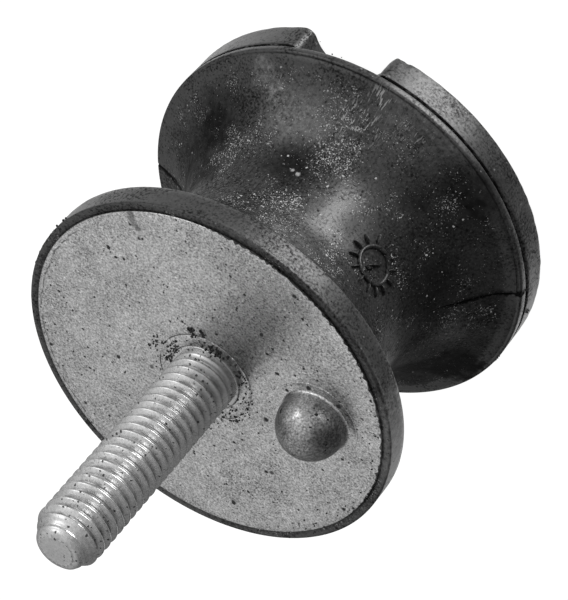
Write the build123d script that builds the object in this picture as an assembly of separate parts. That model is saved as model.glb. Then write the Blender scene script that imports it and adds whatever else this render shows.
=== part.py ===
from build123d import *
import math
import os

# Transmission mount: a waisted rubber body bonded to two steel discs.
# The axis is Z, and the mount stands on its rear face at Z = 0 with the stud upwards.
# The locating dome lies on +X, and the notch in the rear rim opens to +Y.
# All lengths are in millimetres.

# Whole mount
front_face_height = 33.8
rubber_skin = 1.05
press_clearance = 0.0

# Front disc, with its front edge rounded down to the rubber lip
front_plate_dia = 44.3
front_plate_thickness = 2.5
plate_edge_radius = 0.3
front_rim_height = 3.2
rubber_edge_radius = 0.2

# Locating dome, pressed out of the front disc: a ball form that blends into the disc
dome_pitch_radius = 13.95
dome_ball_radius = 3.97
dome_height = 4.8
dome_blend_radius = 1.3
dome_wall = 1.6

# Waist of the rubber
waist_dia = 30.0

# Rear rim: flange band, groove line and the rim below it
rear_plate_dia = 46.8
rear_plate_thickness = 3.0
rear_rim_height = 3.93
flange_band_height = 1.0
groove_width = 0.3
groove_depth = 0.35

# Half-round notch through the rear rim
notch_radius = 5.1
notch_corner_radius = 1.2

# Stud, M8 with a pitch of 1.25: the turns of its thread are drawn as rings, above a plain foot
thread_dia = 8.0
thread_root_dia = 6.5
thread_pitch = 1.25
thread_crest_width = 0.16
thread_root_width = 0.22
stud_length = 29.5
stud_plain_length = 1.5
stud_tip_dia = 6.1
stud_tip_length = 1.4
stud_neck_dia = 8.6
stud_head_dia = 13.0
stud_head_thickness = 3.0

# Rear bush, tapped M8: the bore is drawn at its tapping diameter
bush_dia = 14.0
bush_length = 13.0
bush_collar_dia = 18.0
bush_collar_thickness = 2.0
bush_bore_dia = 6.8
bush_bore_depth = 10.5
bush_mouth_chamfer = 0.7
drill_point_angle = 118.0

# Sizes that follow from those above
front_plate_radius = front_plate_dia / 2
front_plate_back = front_face_height - front_plate_thickness
front_rim_radius = front_plate_radius + rubber_skin
lip_height = front_face_height - plate_edge_radius
rear_plate_radius = rear_plate_dia / 2
rear_rim_radius = rear_plate_radius + rubber_skin
waist_top = lip_height - front_rim_height + plate_edge_radius
waist_bottom = rear_rim_height + flange_band_height
waist_middle = (waist_top + waist_bottom) / 2
dome_ball_height = front_face_height + dome_height - dome_ball_radius


def turned(outline):
    """Solid of revolution about Z, from an outline drawn as (radius, height)."""
    return revolve(Plane.XZ * make_face(outline), Axis.Z)


def round_edge(solid, radius, height, rounding):
    """Round the circular edge that has this radius and lies at this height."""
    chosen = [
        edge
        for edge in solid.edges().filter_by(GeomType.CIRCLE)
        if abs(edge.radius - radius) < 0.001 and abs(edge.arc_center.Z - height) < 0.001
    ]
    return fillet(chosen, rounding)


def dome_form():
    """Outside of the locating dome, from inside the disc up to the crown, with its blend."""
    ball_rise = dome_ball_height - front_face_height
    reach = dome_ball_radius + dome_blend_radius
    blend_offset = math.sqrt(reach**2 - (dome_blend_radius - ball_rise) ** 2)
    share = dome_ball_radius / reach
    touch_radius = blend_offset * share
    touch_height = dome_ball_height + (dome_blend_radius - ball_rise) * share
    slope = math.atan2(touch_height - dome_ball_height, touch_radius)
    crown = front_face_height + dome_height
    halfway = (slope + math.pi / 2) / 2
    ball_point = (
        dome_ball_radius * math.cos(halfway),
        dome_ball_height + dome_ball_radius * math.sin(halfway),
    )
    blend_height = front_face_height + dome_blend_radius
    blend_turn = (slope + math.pi + 1.5 * math.pi) / 2
    blend_point = (
        blend_offset + dome_blend_radius * math.cos(blend_turn),
        blend_height + dome_blend_radius * math.sin(blend_turn),
    )
    root = (blend_offset, front_face_height)
    root_depth = front_face_height - front_plate_thickness / 2
    outline = (
        Polyline((0, crown), (0, root_depth), (blend_offset, root_depth), root)
        + ThreePointArc(root, blend_point, (touch_radius, touch_height))
        + ThreePointArc((touch_radius, touch_height), ball_point, (0, crown))
    )
    return Pos(dome_pitch_radius, 0, 0) * turned(outline)


def dome_hollow():
    """Hollow that pressing the dome leaves at the back of the disc."""
    hollow_radius = dome_ball_radius - dome_wall
    crown = dome_ball_height + hollow_radius
    middle = (
        hollow_radius * math.cos(math.pi / 4),
        dome_ball_height + hollow_radius * math.sin(math.pi / 4),
    )
    outline = (
        Polyline(
            (0, crown),
            (0, front_plate_back),
            (hollow_radius, front_plate_back),
            (hollow_radius, dome_ball_height),
        )
        + ThreePointArc((hollow_radius, dome_ball_height), middle, (0, crown))
    )
    return Pos(dome_pitch_radius, 0, 0) * turned(outline)


def front_plate():
    """Pressed disc with the stud's hole and the locating dome."""
    disc = Pos(0, 0, front_plate_back) * extrude(Circle(front_plate_radius), front_plate_thickness)
    disc = round_edge(disc, front_plate_radius, front_face_height, plate_edge_radius)
    hole_radius = stud_neck_dia / 2 + press_clearance
    hole = Pos(0, 0, front_plate_back) * extrude(Circle(hole_radius), front_plate_thickness)
    return disc + dome_form() - dome_hollow() - hole


def thread_grooves(lowest_crest, turns):
    """Points (radius, height) of the grooves between rings, from the lowest crest upwards."""
    crest_radius = thread_dia / 2
    root_radius = thread_root_dia / 2
    flank = (thread_pitch - thread_crest_width - thread_root_width) / 2
    points = []
    for turn in range(turns):
        top_of_crest = lowest_crest + turn * thread_pitch + thread_crest_width / 2
        points.append((crest_radius, top_of_crest))
        points.append((root_radius, top_of_crest + flank))
        points.append((root_radius, top_of_crest + flank + thread_root_width))
        points.append((crest_radius, top_of_crest + 2 * flank + thread_root_width))
    return points


def front_stud():
    """Headed stud: the head lies behind the disc and the neck fills the disc's hole."""
    shank_radius = thread_dia / 2
    neck_radius = stud_neck_dia / 2
    head_bottom = front_plate_back - stud_head_thickness
    tip = front_face_height + stud_length
    highest_crest = tip - stud_tip_length - thread_crest_width
    turns = int((highest_crest - front_face_height - stud_plain_length) / thread_pitch)
    lowest_crest = highest_crest - turns * thread_pitch
    outline = Polyline(
        (0, head_bottom),
        (stud_head_dia / 2, head_bottom),
        (stud_head_dia / 2, front_plate_back),
        (neck_radius, front_plate_back),
        (neck_radius, front_face_height),
        (shank_radius, front_face_height),
        *thread_grooves(lowest_crest, turns),
        (shank_radius, tip - stud_tip_length),
        (stud_tip_dia / 2, tip),
        (0, tip),
        close=True,
    )
    return turned(outline)


def notch_plan(rim_radius, radius, corner_radius):
    """Plan of the notch with rounded corners, open past the rim."""
    reach = radius + corner_radius
    inner = rim_radius - corner_radius
    centre_y = (inner**2 - reach**2 + rim_radius**2) / (2 * rim_radius)
    centre_x = math.sqrt(inner**2 - centre_y**2)
    rim_point = Vector(centre_x, centre_y) * (rim_radius / inner)
    notch_point = Vector(0, rim_radius) + Vector(centre_x, centre_y - rim_radius) * (radius / reach)
    outward = (rim_point + notch_point) * 0.5 - Vector(centre_x, centre_y)
    corner_point = Vector(centre_x, centre_y) + outward.normalized() * corner_radius
    turn = math.atan2(rim_radius - notch_point.Y, notch_point.X)
    halfway_turn = (turn + math.pi / 2) / 2
    halfway = (radius * math.cos(halfway_turn), rim_radius - radius * math.sin(halfway_turn))
    outside = rim_radius + radius
    half = (
        Polyline((0, outside), (rim_point.X, outside), rim_point)
        + ThreePointArc(rim_point, corner_point, notch_point)
        + ThreePointArc(notch_point, halfway, (0, rim_radius - radius))
    )
    return make_face(half + mirror(half, Plane.YZ))


def rear_plate():
    """Disc bonded into the rear rim, cut back round the notch and bored for the bush."""
    disc = extrude(Circle(rear_plate_radius), rear_plate_thickness)
    notch = Pos(0, rear_rim_radius, 0) * extrude(Circle(notch_radius + rubber_skin), rear_plate_thickness)
    hole = extrude(Circle(bush_dia / 2 + press_clearance), rear_plate_thickness)
    return disc - notch - hole


def rear_bush():
    """Collared bush with a blind bore that opens at the rear face."""
    bore_radius = bush_bore_dia / 2
    mouth_radius = bore_radius + bush_mouth_chamfer
    point_depth = bore_radius / math.tan(math.radians(drill_point_angle / 2))
    collar_top = rear_plate_thickness + bush_collar_thickness
    outline = Polyline(
        (mouth_radius, 0),
        (bush_dia / 2, 0),
        (bush_dia / 2, rear_plate_thickness),
        (bush_collar_dia / 2, rear_plate_thickness),
        (bush_collar_dia / 2, collar_top),
        (bush_dia / 2, collar_top),
        (bush_dia / 2, bush_length),
        (0, bush_length),
        (0, bush_bore_depth + point_depth),
        (bore_radius, bush_bore_depth),
        (bore_radius, bush_mouth_chamfer),
        close=True,
    )
    return turned(outline)


def rubber_envelope():
    """Outer form of the moulding: rear rim, groove line, flange band, waist and front rim."""
    outline = (
        Polyline(
            (0, 0),
            (rear_rim_radius, 0),
            (rear_rim_radius, rear_rim_height - groove_width / 2),
            (rear_rim_radius - groove_depth, rear_rim_height),
            (rear_rim_radius, rear_rim_height + groove_width / 2),
            (rear_rim_radius, waist_bottom),
        )
        + ThreePointArc(
            (rear_rim_radius, waist_bottom),
            (waist_dia / 2, waist_middle),
            (front_rim_radius, waist_top),
        )
        + Polyline((front_rim_radius, waist_top), (front_rim_radius, lip_height), (0, lip_height), (0, 0))
    )
    envelope = turned(outline)
    envelope = round_edge(envelope, front_rim_radius, lip_height, rubber_edge_radius)
    return round_edge(envelope, rear_rim_radius, 0, rubber_edge_radius)


def bush_cavity():
    """Space that the bush takes up in the moulding, its bore included."""
    body = extrude(Circle(bush_dia / 2), bush_length)
    collar = Pos(0, 0, rear_plate_thickness) * extrude(Circle(bush_collar_dia / 2), bush_collar_thickness)
    return body + collar


def rubber_body(bonded):
    """The moulding, with the bonded pieces and the notch taken out of its outer form."""
    notch = extrude(notch_plan(rear_rim_radius, notch_radius, notch_corner_radius), rear_rim_height)
    body = rubber_envelope() + dome_hollow() - notch - bush_cavity()
    for piece in bonded:
        body -= piece
    return body


def main():
    """Build the pieces and write one file for each."""
    plate = front_plate()
    stud = front_stud()
    rear = rear_plate()
    pieces = {
        "rubber_body": rubber_body([plate, stud, rear]),
        "front_plate": plate,
        "front_stud": stud,
        "rear_plate": rear,
        "rear_bush": rear_bush(),
    }
    os.makedirs("parts", exist_ok=True)
    for name, piece in pieces.items():
        print(name, f"{piece.volume:.1f} mm3")
        export_step(piece, f"parts/{name}.step")


main()
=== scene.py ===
"""Looks of a transmission mount: a waisted rubber body bonded between two steel discs.

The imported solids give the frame. Z runs along the mount towards the stud's tip, X towards the
locating dome and Y towards the notch in the rear rim. Sizes are in millimetres, and only the
geometry recipes work in metres. Azimuths are in degrees about Z, from X towards Y.
"""
import logging
import math
from dataclasses import asdict, dataclass, field
from enum import Enum
from typing import Any, Optional, Union

import bmesh
import bpy
import numpy as np
from bpy.types import Material, Mesh, NodeSocket, NodeTree, Object, World
from mathutils import Matrix, Vector, noise


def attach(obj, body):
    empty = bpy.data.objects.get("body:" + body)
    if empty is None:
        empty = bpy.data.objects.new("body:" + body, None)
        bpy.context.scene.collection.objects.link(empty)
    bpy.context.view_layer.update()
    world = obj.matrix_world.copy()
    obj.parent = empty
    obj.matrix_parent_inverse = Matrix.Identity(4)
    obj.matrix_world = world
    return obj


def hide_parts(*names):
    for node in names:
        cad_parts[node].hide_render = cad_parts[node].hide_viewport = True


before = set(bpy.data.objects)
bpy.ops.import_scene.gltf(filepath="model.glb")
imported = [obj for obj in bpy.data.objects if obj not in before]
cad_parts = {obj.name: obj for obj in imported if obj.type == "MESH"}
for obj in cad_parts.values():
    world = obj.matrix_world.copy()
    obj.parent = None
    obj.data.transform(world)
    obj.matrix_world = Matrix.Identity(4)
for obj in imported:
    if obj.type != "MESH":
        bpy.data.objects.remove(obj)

# Units, in metres and radians
MM = 0.001
FULL_TURN = 2 * math.pi
DEGREE = math.pi / 180

# Sizes that pieces and finishes share
FRONT_FACE = 33.8
PLATE_RADIUS = 22.15
WITNESS_RADIUS = 5.85
DOME_PITCH = 13.95
REAR_RIM_RADIUS = 24.45
THREAD_ROOT = 3.27
PITCH = 1.25

log = logging.getLogger("transmission_mount")

# One number, or one for each column of a grid
Reach = Union[float, np.ndarray]


class Slot(Enum):
    """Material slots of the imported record."""

    RUBBER = "rubber"
    DISC = "disc_steel"
    ZINC = "zinc_steel"


class Node(Enum):
    """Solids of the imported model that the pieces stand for."""

    RUBBER_BODY = "rubber_body"
    FRONT_PLATE = "front_plate"
    FRONT_STUD = "front_stud"
    REAR_PLATE = "rear_plate"
    REAR_BUSH = "rear_bush"


class Change(Enum):
    """What one closed mesh does to another."""

    ADD = "UNION"
    CUT = "DIFFERENCE"


class Value:
    """Output of a node. Arithmetic on it adds Math nodes to its tree."""

    def __init__(self, sheet: "NodeSheet", socket: NodeSocket) -> None:
        """Hold an output socket of a sheet."""
        self.sheet = sheet
        self.socket = socket

    def math(self, operation: str, *others: "Feed") -> "Value":
        """Work out one operation of a Math node, with this value first."""
        return self.sheet.math(operation, self, *others)

    def __add__(self, other: "Feed") -> "Value":
        """Sum of two values."""
        return self.math("ADD", other)

    def __sub__(self, other: "Feed") -> "Value":
        """Difference of two values."""
        return self.math("SUBTRACT", other)

    def __rsub__(self, other: "Feed") -> "Value":
        """Difference of a number and this value."""
        return self.sheet.math("SUBTRACT", other, self)

    def __mul__(self, other: "Feed") -> "Value":
        """Product of two values."""
        return self.math("MULTIPLY", other)

    def __truediv__(self, other: "Feed") -> "Value":
        """Quotient of two values."""
        return self.math("DIVIDE", other)

    def __rtruediv__(self, other: "Feed") -> "Value":
        """Quotient of a number and this value."""
        return self.sheet.math("DIVIDE", other, self)

    def __or__(self, other: "Feed") -> "Value":
        """Larger of two values, which joins two masks."""
        return self.math("MAXIMUM", other)

    def __abs__(self) -> "Value":
        """Size without the sign."""
        return self.math("ABSOLUTE")

    def held(self) -> "Value":
        """This value, kept between 0 and 1."""
        return self.sheet.math("ADD", self, 0.0, clamp=True)

    def remap(
        self, low: "Feed", high: "Feed", start: "Feed" = 0.0, end: "Feed" = 1.0, soft: bool = True
    ) -> "Value":
        """Carry this value from one range to another, held at the ends.

        Args:
            low: Where the first range starts.
            high: Where the first range ends.
            start: What low becomes.
            end: What high becomes.
            soft: Whether the course is a smooth step and not a straight line.

        Returns:
            The result.
        """
        feeds = {"Value": self, "From Min": low, "From Max": high, "To Min": start, "To Max": end}
        course = "SMOOTHSTEP" if soft else "LINEAR"
        return self.sheet.out("ShaderNodeMapRange", feeds, interpolation_type=course, clamp=True)


# What the input of a node is given
Feed = Union[Value, float, int, tuple, Vector, Material]


def fresh_tree(owner: Union[Material, World]) -> NodeTree:
    """Give a material or world an empty node tree.

    Args:
        owner: Which of the two it is.

    Returns:
        The tree.
    """
    owner.use_nodes = True
    owner.node_tree.nodes.clear()
    return owner.node_tree


def titled(name: str) -> str:
    """Name of a socket, from the keyword that stands for it."""
    return name.replace("_", " ").title().replace("Ior", "IOR")


class NodeSheet:
    """A node tree that a recipe fills, one node at a time."""

    def __init__(self, tree: NodeTree) -> None:
        """Work on this tree."""
        self.tree = tree

    def feed(self, socket: NodeSocket, value: Feed) -> None:
        """Link an input to a value of the tree, or set its own value.

        Args:
            socket: The input to feed.
            value: What it gets.
        """
        if isinstance(value, Value):
            self.tree.links.new(value.socket, socket)
        else:
            socket.default_value = value

    def node(self, kind: str, feeds: Optional[dict] = None, **options: Any) -> bpy.types.Node:
        """Add a node.

        Args:
            kind: Blender's name of the node's type.
            feeds: Values for its inputs, by name or place.
            options: Values for its own settings.

        Returns:
            The new node.
        """
        made = self.tree.nodes.new(kind)
        for option, value in options.items():
            setattr(made, option, value)
        for name, value in (feeds or {}).items():
            self.feed(made.inputs[name], value)
        return made

    def out(
        self, kind: str, feeds: Optional[dict] = None, pick: Union[int, str] = 0, **options: Any
    ) -> Value:
        """Add a node and take one of its outputs, by name or place."""
        return Value(self, self.node(kind, feeds, **options).outputs[pick])

    def outs(self, kind: str, feeds: Optional[dict] = None, **options: Any) -> dict[str, Value]:
        """Add a node and take all its outputs, by name."""
        return {socket.name: Value(self, socket) for socket in self.node(kind, feeds, **options).outputs}

    def math(self, operation: str, *values: Feed, clamp: bool = False) -> Value:
        """Work out one operation of a Math node."""
        return self.out("ShaderNodeMath", dict(enumerate(values)), operation=operation, use_clamp=clamp)

    def blend(self, share: Feed, first: Feed, second: Feed) -> Value:
        """Mix two colours, the second by the share."""
        feeds = {0: share, 6: first, 7: second}
        return self.out("ShaderNodeMix", feeds, 2, data_type="RGBA", clamp_factor=True)

    def lerp(self, share: Feed, first: Feed, second: Feed) -> Value:
        """Mix two numbers, the second by the share."""
        return self.out("ShaderNodeMix", {0: share, 2: first, 3: second}, data_type="FLOAT")

    def noise(self, place: Feed, size: Feed, detail: float = 2.0, roughness: float = 0.5) -> dict[str, Value]:
        """Random cloud.

        Args:
            place: Coordinates.
            size: Length of one cloud.
            detail: Number of finer layers.
            roughness: How strong the finer layers are.

        Returns:
            The cloud's outputs: Fac is one number, about 0 to 1, and Color is three.
        """
        feeds = {"Vector": place, "Scale": 1.0 / size, "Detail": detail, "Roughness": roughness}
        return self.outs("ShaderNodeTexNoise", feeds)

    def wander(self, place: Feed, cloud: Value, reach: Feed) -> Value:
        """Move coordinates to and fro by the three numbers of a cloud."""
        return self.shift(place, self.grow(self.shift(cloud, (-0.5, -0.5, -0.5)), reach))

    def grow(self, place: Feed, factor: Feed) -> Value:
        """Scale coordinates by one factor."""
        return self.out("ShaderNodeVectorMath", {0: place, "Scale": factor}, operation="SCALE")

    def shift(self, place: Feed, offset: Feed) -> Value:
        """Move coordinates by an offset."""
        return self.out("ShaderNodeVectorMath", {0: place, 1: offset}, operation="ADD")

    def measure(self, operation: str, first: Feed, second: Feed) -> Value:
        """Distance or dot product of two vectors."""
        return self.out("ShaderNodeVectorMath", {0: first, 1: second}, "Value", operation=operation)

    def axes(self, place: Feed) -> list[Value]:
        """X, Y and Z of coordinates."""
        return list(self.outs("ShaderNodeSeparateXYZ", {0: place}).values())

    def point(self, x: Feed = 0.0, y: Feed = 0.0, z: Feed = 0.0) -> Value:
        """Vector of three values."""
        return self.out("ShaderNodeCombineXYZ", {0: x, 1: y, 2: z})

    def polar(self, radius: Value, angle: Value, height: Feed) -> Value:
        """Point at a radius from the mount's axis, an angle in radians and a height."""
        return self.point(radius * angle.math("COSINE"), radius * angle.math("SINE"), height)


class NodeGroup(NodeSheet):
    """A node group with named inputs and outputs."""

    def __init__(self, name: str, kind: str, inputs: dict[str, Any], outputs: dict[str, str]) -> None:
        """Start the group.

        Args:
            name: The group's name.
            kind: Blender's name of the tree's type.
            inputs: Default value of each input, or its socket's type where it has no value.
            outputs: Socket's type of each output.
        """
        super().__init__(bpy.data.node_groups.new(name, f"{kind}NodeTree"))
        for label, value in inputs.items():
            known = {str: value, int: "Int", float: "Float"}[type(value)]
            socket = self.declare(label, "INPUT", known)
            if not isinstance(value, str):
                socket.default_value = value
        for label, known in outputs.items():
            self.declare(label, "OUTPUT", known)
        self.given = self.outs("NodeGroupInput")

    def declare(self, label: str, side: str, known: str) -> Any:
        """Add a socket to the group's interface."""
        return self.tree.interface.new_socket(name=label, in_out=side, socket_type=f"NodeSocket{known}")

    def give(self, **values: Value) -> None:
        """Feed the group's outputs."""
        self.node("NodeGroupOutput", {titled(name): value for name, value in values.items()})


class SpeckGroup(NodeGroup):
    """Small irregular specks, scattered in clusters: the mask is 1 in a speck."""

    def __init__(self) -> None:
        """Write the group."""
        inputs = {"Place": "Vector", "Speck Size": 0.3, "Cover": 0.2, "Cluster Size": 5.0, "Clustering": 0.5}
        super().__init__("specks", "Shader", inputs, {"Mask": "Float"})
        place, size = self.given["Place"], self.given["Speck Size"]
        bent = self.wander(place, self.noise(place, size)["Color"], size * 1.1)
        cells = self.outs("ShaderNodeTexVoronoi", {"Vector": bent, "Scale": 0.55 / size})
        chance = self.axes(cells["Color"])
        clouds = self.noise(place, self.given["Cluster Size"], 3.0, 0.6)["Fac"].remap(0.36, 0.66)
        cover = self.given["Cover"] * self.lerp(self.given["Clustering"], 1.0, clouds * 2.0)
        reach = self.lerp(chance[1], 0.16, 0.42)
        spot = cells["Distance"].remap(reach * 0.75, reach, 1.0, 0.0)
        self.give(mask=spot * chance[0].math("LESS_THAN", cover))


class DustGroup(NodeGroup):
    """Fine grains, thick in clouds and thin between them: the mask is 1 in a grain."""

    def __init__(self) -> None:
        """Write the group."""
        inputs = {"Place": "Vector", "Grain Size": 0.22, "Cloud Size": 4.0}
        inputs |= {"Extra": 0.0, "Thin": 0.76, "Thick": 0.6}
        super().__init__("dust", "Shader", inputs, {"Mask": "Float"})
        given = self.given
        clouds = self.noise(given["Place"], given["Cloud Size"], 4.0, 0.65)["Fac"].remap(0.46, 0.66)
        level = self.lerp((clouds + given["Extra"]).held(), given["Thin"], given["Thick"])
        grain = self.noise(given["Place"], given["Grain Size"], 1.0)["Fac"]
        self.give(mask=grain.remap(level, level + 0.08))


class MottleGroup(NodeGroup):
    """Tone that varies in patches, with a fine grain over them: a value about 1, and the grain by itself."""

    def __init__(self) -> None:
        """Write the group."""
        inputs = {"Place": "Vector", "Patch Size": 4.0, "Patch Strength": 0.2}
        inputs |= {"Grain Size": 0.2, "Grain Strength": 0.2}
        super().__init__("mottle", "Shader", inputs, {"Value": "Float", "Grain": "Float"})
        given = self.given
        patch = self.noise(given["Place"], given["Patch Size"], 3.0, 0.55)["Fac"].remap(0.3, 0.7, -1.0, 1.0)
        grain = self.noise(given["Place"], given["Grain Size"], 2.0, 0.6)["Fac"]
        grain = grain.remap(0.28, 0.72, -1.0, 1.0, soft=False)
        value = grain * given["Grain Strength"] + (patch * given["Patch Strength"] + 1.0)
        self.give(value=value, grain=grain)


class Effects:
    """Shader node groups that the finishes share."""

    def __init__(self) -> None:
        """Build each group once."""
        self.specks = SpeckGroup().tree
        self.dust = DustGroup().tree
        self.mottle = MottleGroup().tree


@dataclass(frozen=True)
class Waist:
    """The rubber's hollow side: an arc that runs from the rear flange to the front rim."""

    low_radius: float = REAR_RIM_RADIUS
    low_height: float = 4.93
    high_radius: float = 23.2
    high_height: float = 30.6
    least_radius: float = 15.0

    def arc(self) -> tuple[float, float, float]:
        """Find the arc from its two ends and its middle.

        Returns:
            Radius and height of its centre, and its own radius.
        """
        ends = [(self.low_radius, self.low_height), (self.high_radius, self.high_height)]
        middle = (self.least_radius, (self.low_height + self.high_height) / 2)
        rows = [(2 * (r - middle[0]), 2 * (z - middle[1])) for r, z in ends]
        sums = [r * r + z * z - middle[0] ** 2 - middle[1] ** 2 for r, z in ends]
        centre = np.linalg.solve(np.array(rows), np.array(sums))
        return float(centre[0]), float(centre[1]), math.dist(centre, middle)

    def section(self, low: float, high: float, step: float) -> list[tuple[float, float]]:
        """Points along the arc.

        Args:
            low: Height of the first point.
            high: Height of the last point.
            step: Distance between points.

        Returns:
            Radius and height of each point.
        """
        radius, height, size = self.arc()
        first, last = (math.asin((z - height) / size) for z in (low, high))
        angles = np.linspace(first, last, round((last - first) * size / step) + 1)
        return [(radius - size * math.cos(a), height + size * math.sin(a)) for a in angles]


@dataclass(frozen=True)
class Spot:
    """Soft-edged patch round a point of the surface. Its core is the share of it that is full."""

    place: tuple[float, float, float]
    reach: float
    strength: float = 1.0
    core: float = 0.45

    def mask(self, sheet: NodeSheet, place: Value) -> Value:
        """Mask of the patch at these coordinates."""
        off = sheet.measure("DISTANCE", place, self.place)
        return off.remap(self.reach * self.core, self.reach, self.strength, 0.0)


def on_waist(azimuth: float, height: float, reach: float, strength: float = 1.0, core: float = 0.1) -> Spot:
    """Place a patch on the waist.

    Args:
        azimuth: Its azimuth.
        height: Its height.
        reach: Its radius.
        strength: Its mask's highest value.
        core: Share of its radius that keeps this value.

    Returns:
        The patch.
    """
    radius, middle, size = Waist().arc()
    wall = radius - math.sqrt(size**2 - (middle - height) ** 2)
    angle = math.radians(azimuth)
    return Spot((wall * math.cos(angle), wall * math.sin(angle), height), reach, strength, core)


def on_disc(x: float, y: float, reach: float, strength: float = 1.0) -> Spot:
    """Place a patch on the front disc."""
    return Spot((x, y, FRONT_FACE), reach, strength)


class Finish(NodeSheet):
    """A material: its node tree, its coordinates and its shader. Each kind dresses it in its own way."""

    name = "finish"

    def __init__(self, effects: Effects) -> None:
        """Start a material with the shared node groups.

        Args:
            effects: The shared node groups.
        """
        self.material = bpy.data.materials.new(self.name)
        super().__init__(fresh_tree(self.material))
        self.effects = effects
        self.place = self.grow(self.out("ShaderNodeTexCoord", pick="Object"), 1 / MM)
        self.x, self.y, self.z = self.axes(self.place)
        self.shader = self.node("ShaderNodeBsdfPrincipled")
        self.node("ShaderNodeOutputMaterial", {"Surface": Value(self, self.shader.outputs[0])})
        self.dress()

    def dress(self) -> None:
        """Feed the shader's inputs. Each finish does it in its own way."""

    def effect(self, tree: NodeTree, offset: tuple = (0.0, 0.0, 0.0), **feeds: Feed) -> list[Value]:
        """Place a shared group on this material's coordinates.

        Args:
            tree: The group.
            offset: How far its pattern is moved.
            feeds: Values for its inputs, with underscores for spaces.

        Returns:
            The group's outputs.
        """
        made = self.node("ShaderNodeGroup", node_tree=tree)
        for name, value in {"place": self.shift(self.place, offset), **feeds}.items():
            self.feed(made.inputs[titled(name)], value)
        return [Value(self, socket) for socket in made.outputs]

    def mottle(self, **feeds: float) -> list[Value]:
        """Varied tone: its value about 1 and its grain, from the sizes and strengths of patches and grain."""
        return self.effect(self.effects.mottle, **feeds)

    def specks(self, offset: tuple, **feeds: Feed) -> Value:
        """Mask of scattered specks, from their speck_size, cover, cluster_size and clustering."""
        return self.effect(self.effects.specks, offset, **feeds)[0]

    def dust(self, offset: tuple, **feeds: Feed) -> Value:
        """Mask of fine dust, from its grain_size, cloud_size, thin and thick level and extra."""
        return self.effect(self.effects.dust, offset, **feeds)[0]

    def cloud(self, size: float, detail: float = 2.0, roughness: float = 0.5) -> Value:
        """Random cloud of a given size on the surface."""
        return self.noise(self.place, size, detail, roughness)["Fac"]

    def bent(self, reach: float, size: float) -> Value:
        """Coordinates that wander by a reach over a size, for patches with an irregular outline."""
        return self.wander(self.place, self.noise(self.place, size, 5.0, 0.68)["Color"], 2 * reach)

    def strongest(self, spots: tuple, place: Value) -> Value:
        """Join the masks of several patches.

        Args:
            spots: The patches.
            place: Coordinates.

        Returns:
            The strongest mask at each point.
        """
        mask = spots[0].mask(self, place)
        for spot in spots[1:]:
            mask = mask | spot.mask(self, place)
        return mask

    def from_axis(self) -> Value:
        """Distance from the mount's axis."""
        return (self.x * self.x + self.y * self.y).math("SQRT")

    def grey(self, level: Feed) -> Value:
        """Neutral colour of a level."""
        return self.out("ShaderNodeCombineColor", {n: level for n in range(3)})

    def bump(self, height: Value, depth: float) -> None:
        """Raise the surface by a height map, by the depth where it is 1."""
        feeds = {"Height": height, "Distance": depth * MM, "Strength": 1.0}
        self.set(normal=self.out("ShaderNodeBump", feeds))

    def set(self, **feeds: Feed) -> None:
        """Feed the shader's own inputs, with underscores for spaces in their names."""
        for name, value in feeds.items():
            self.feed(self.shader.inputs[titled(name)], value)


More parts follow.
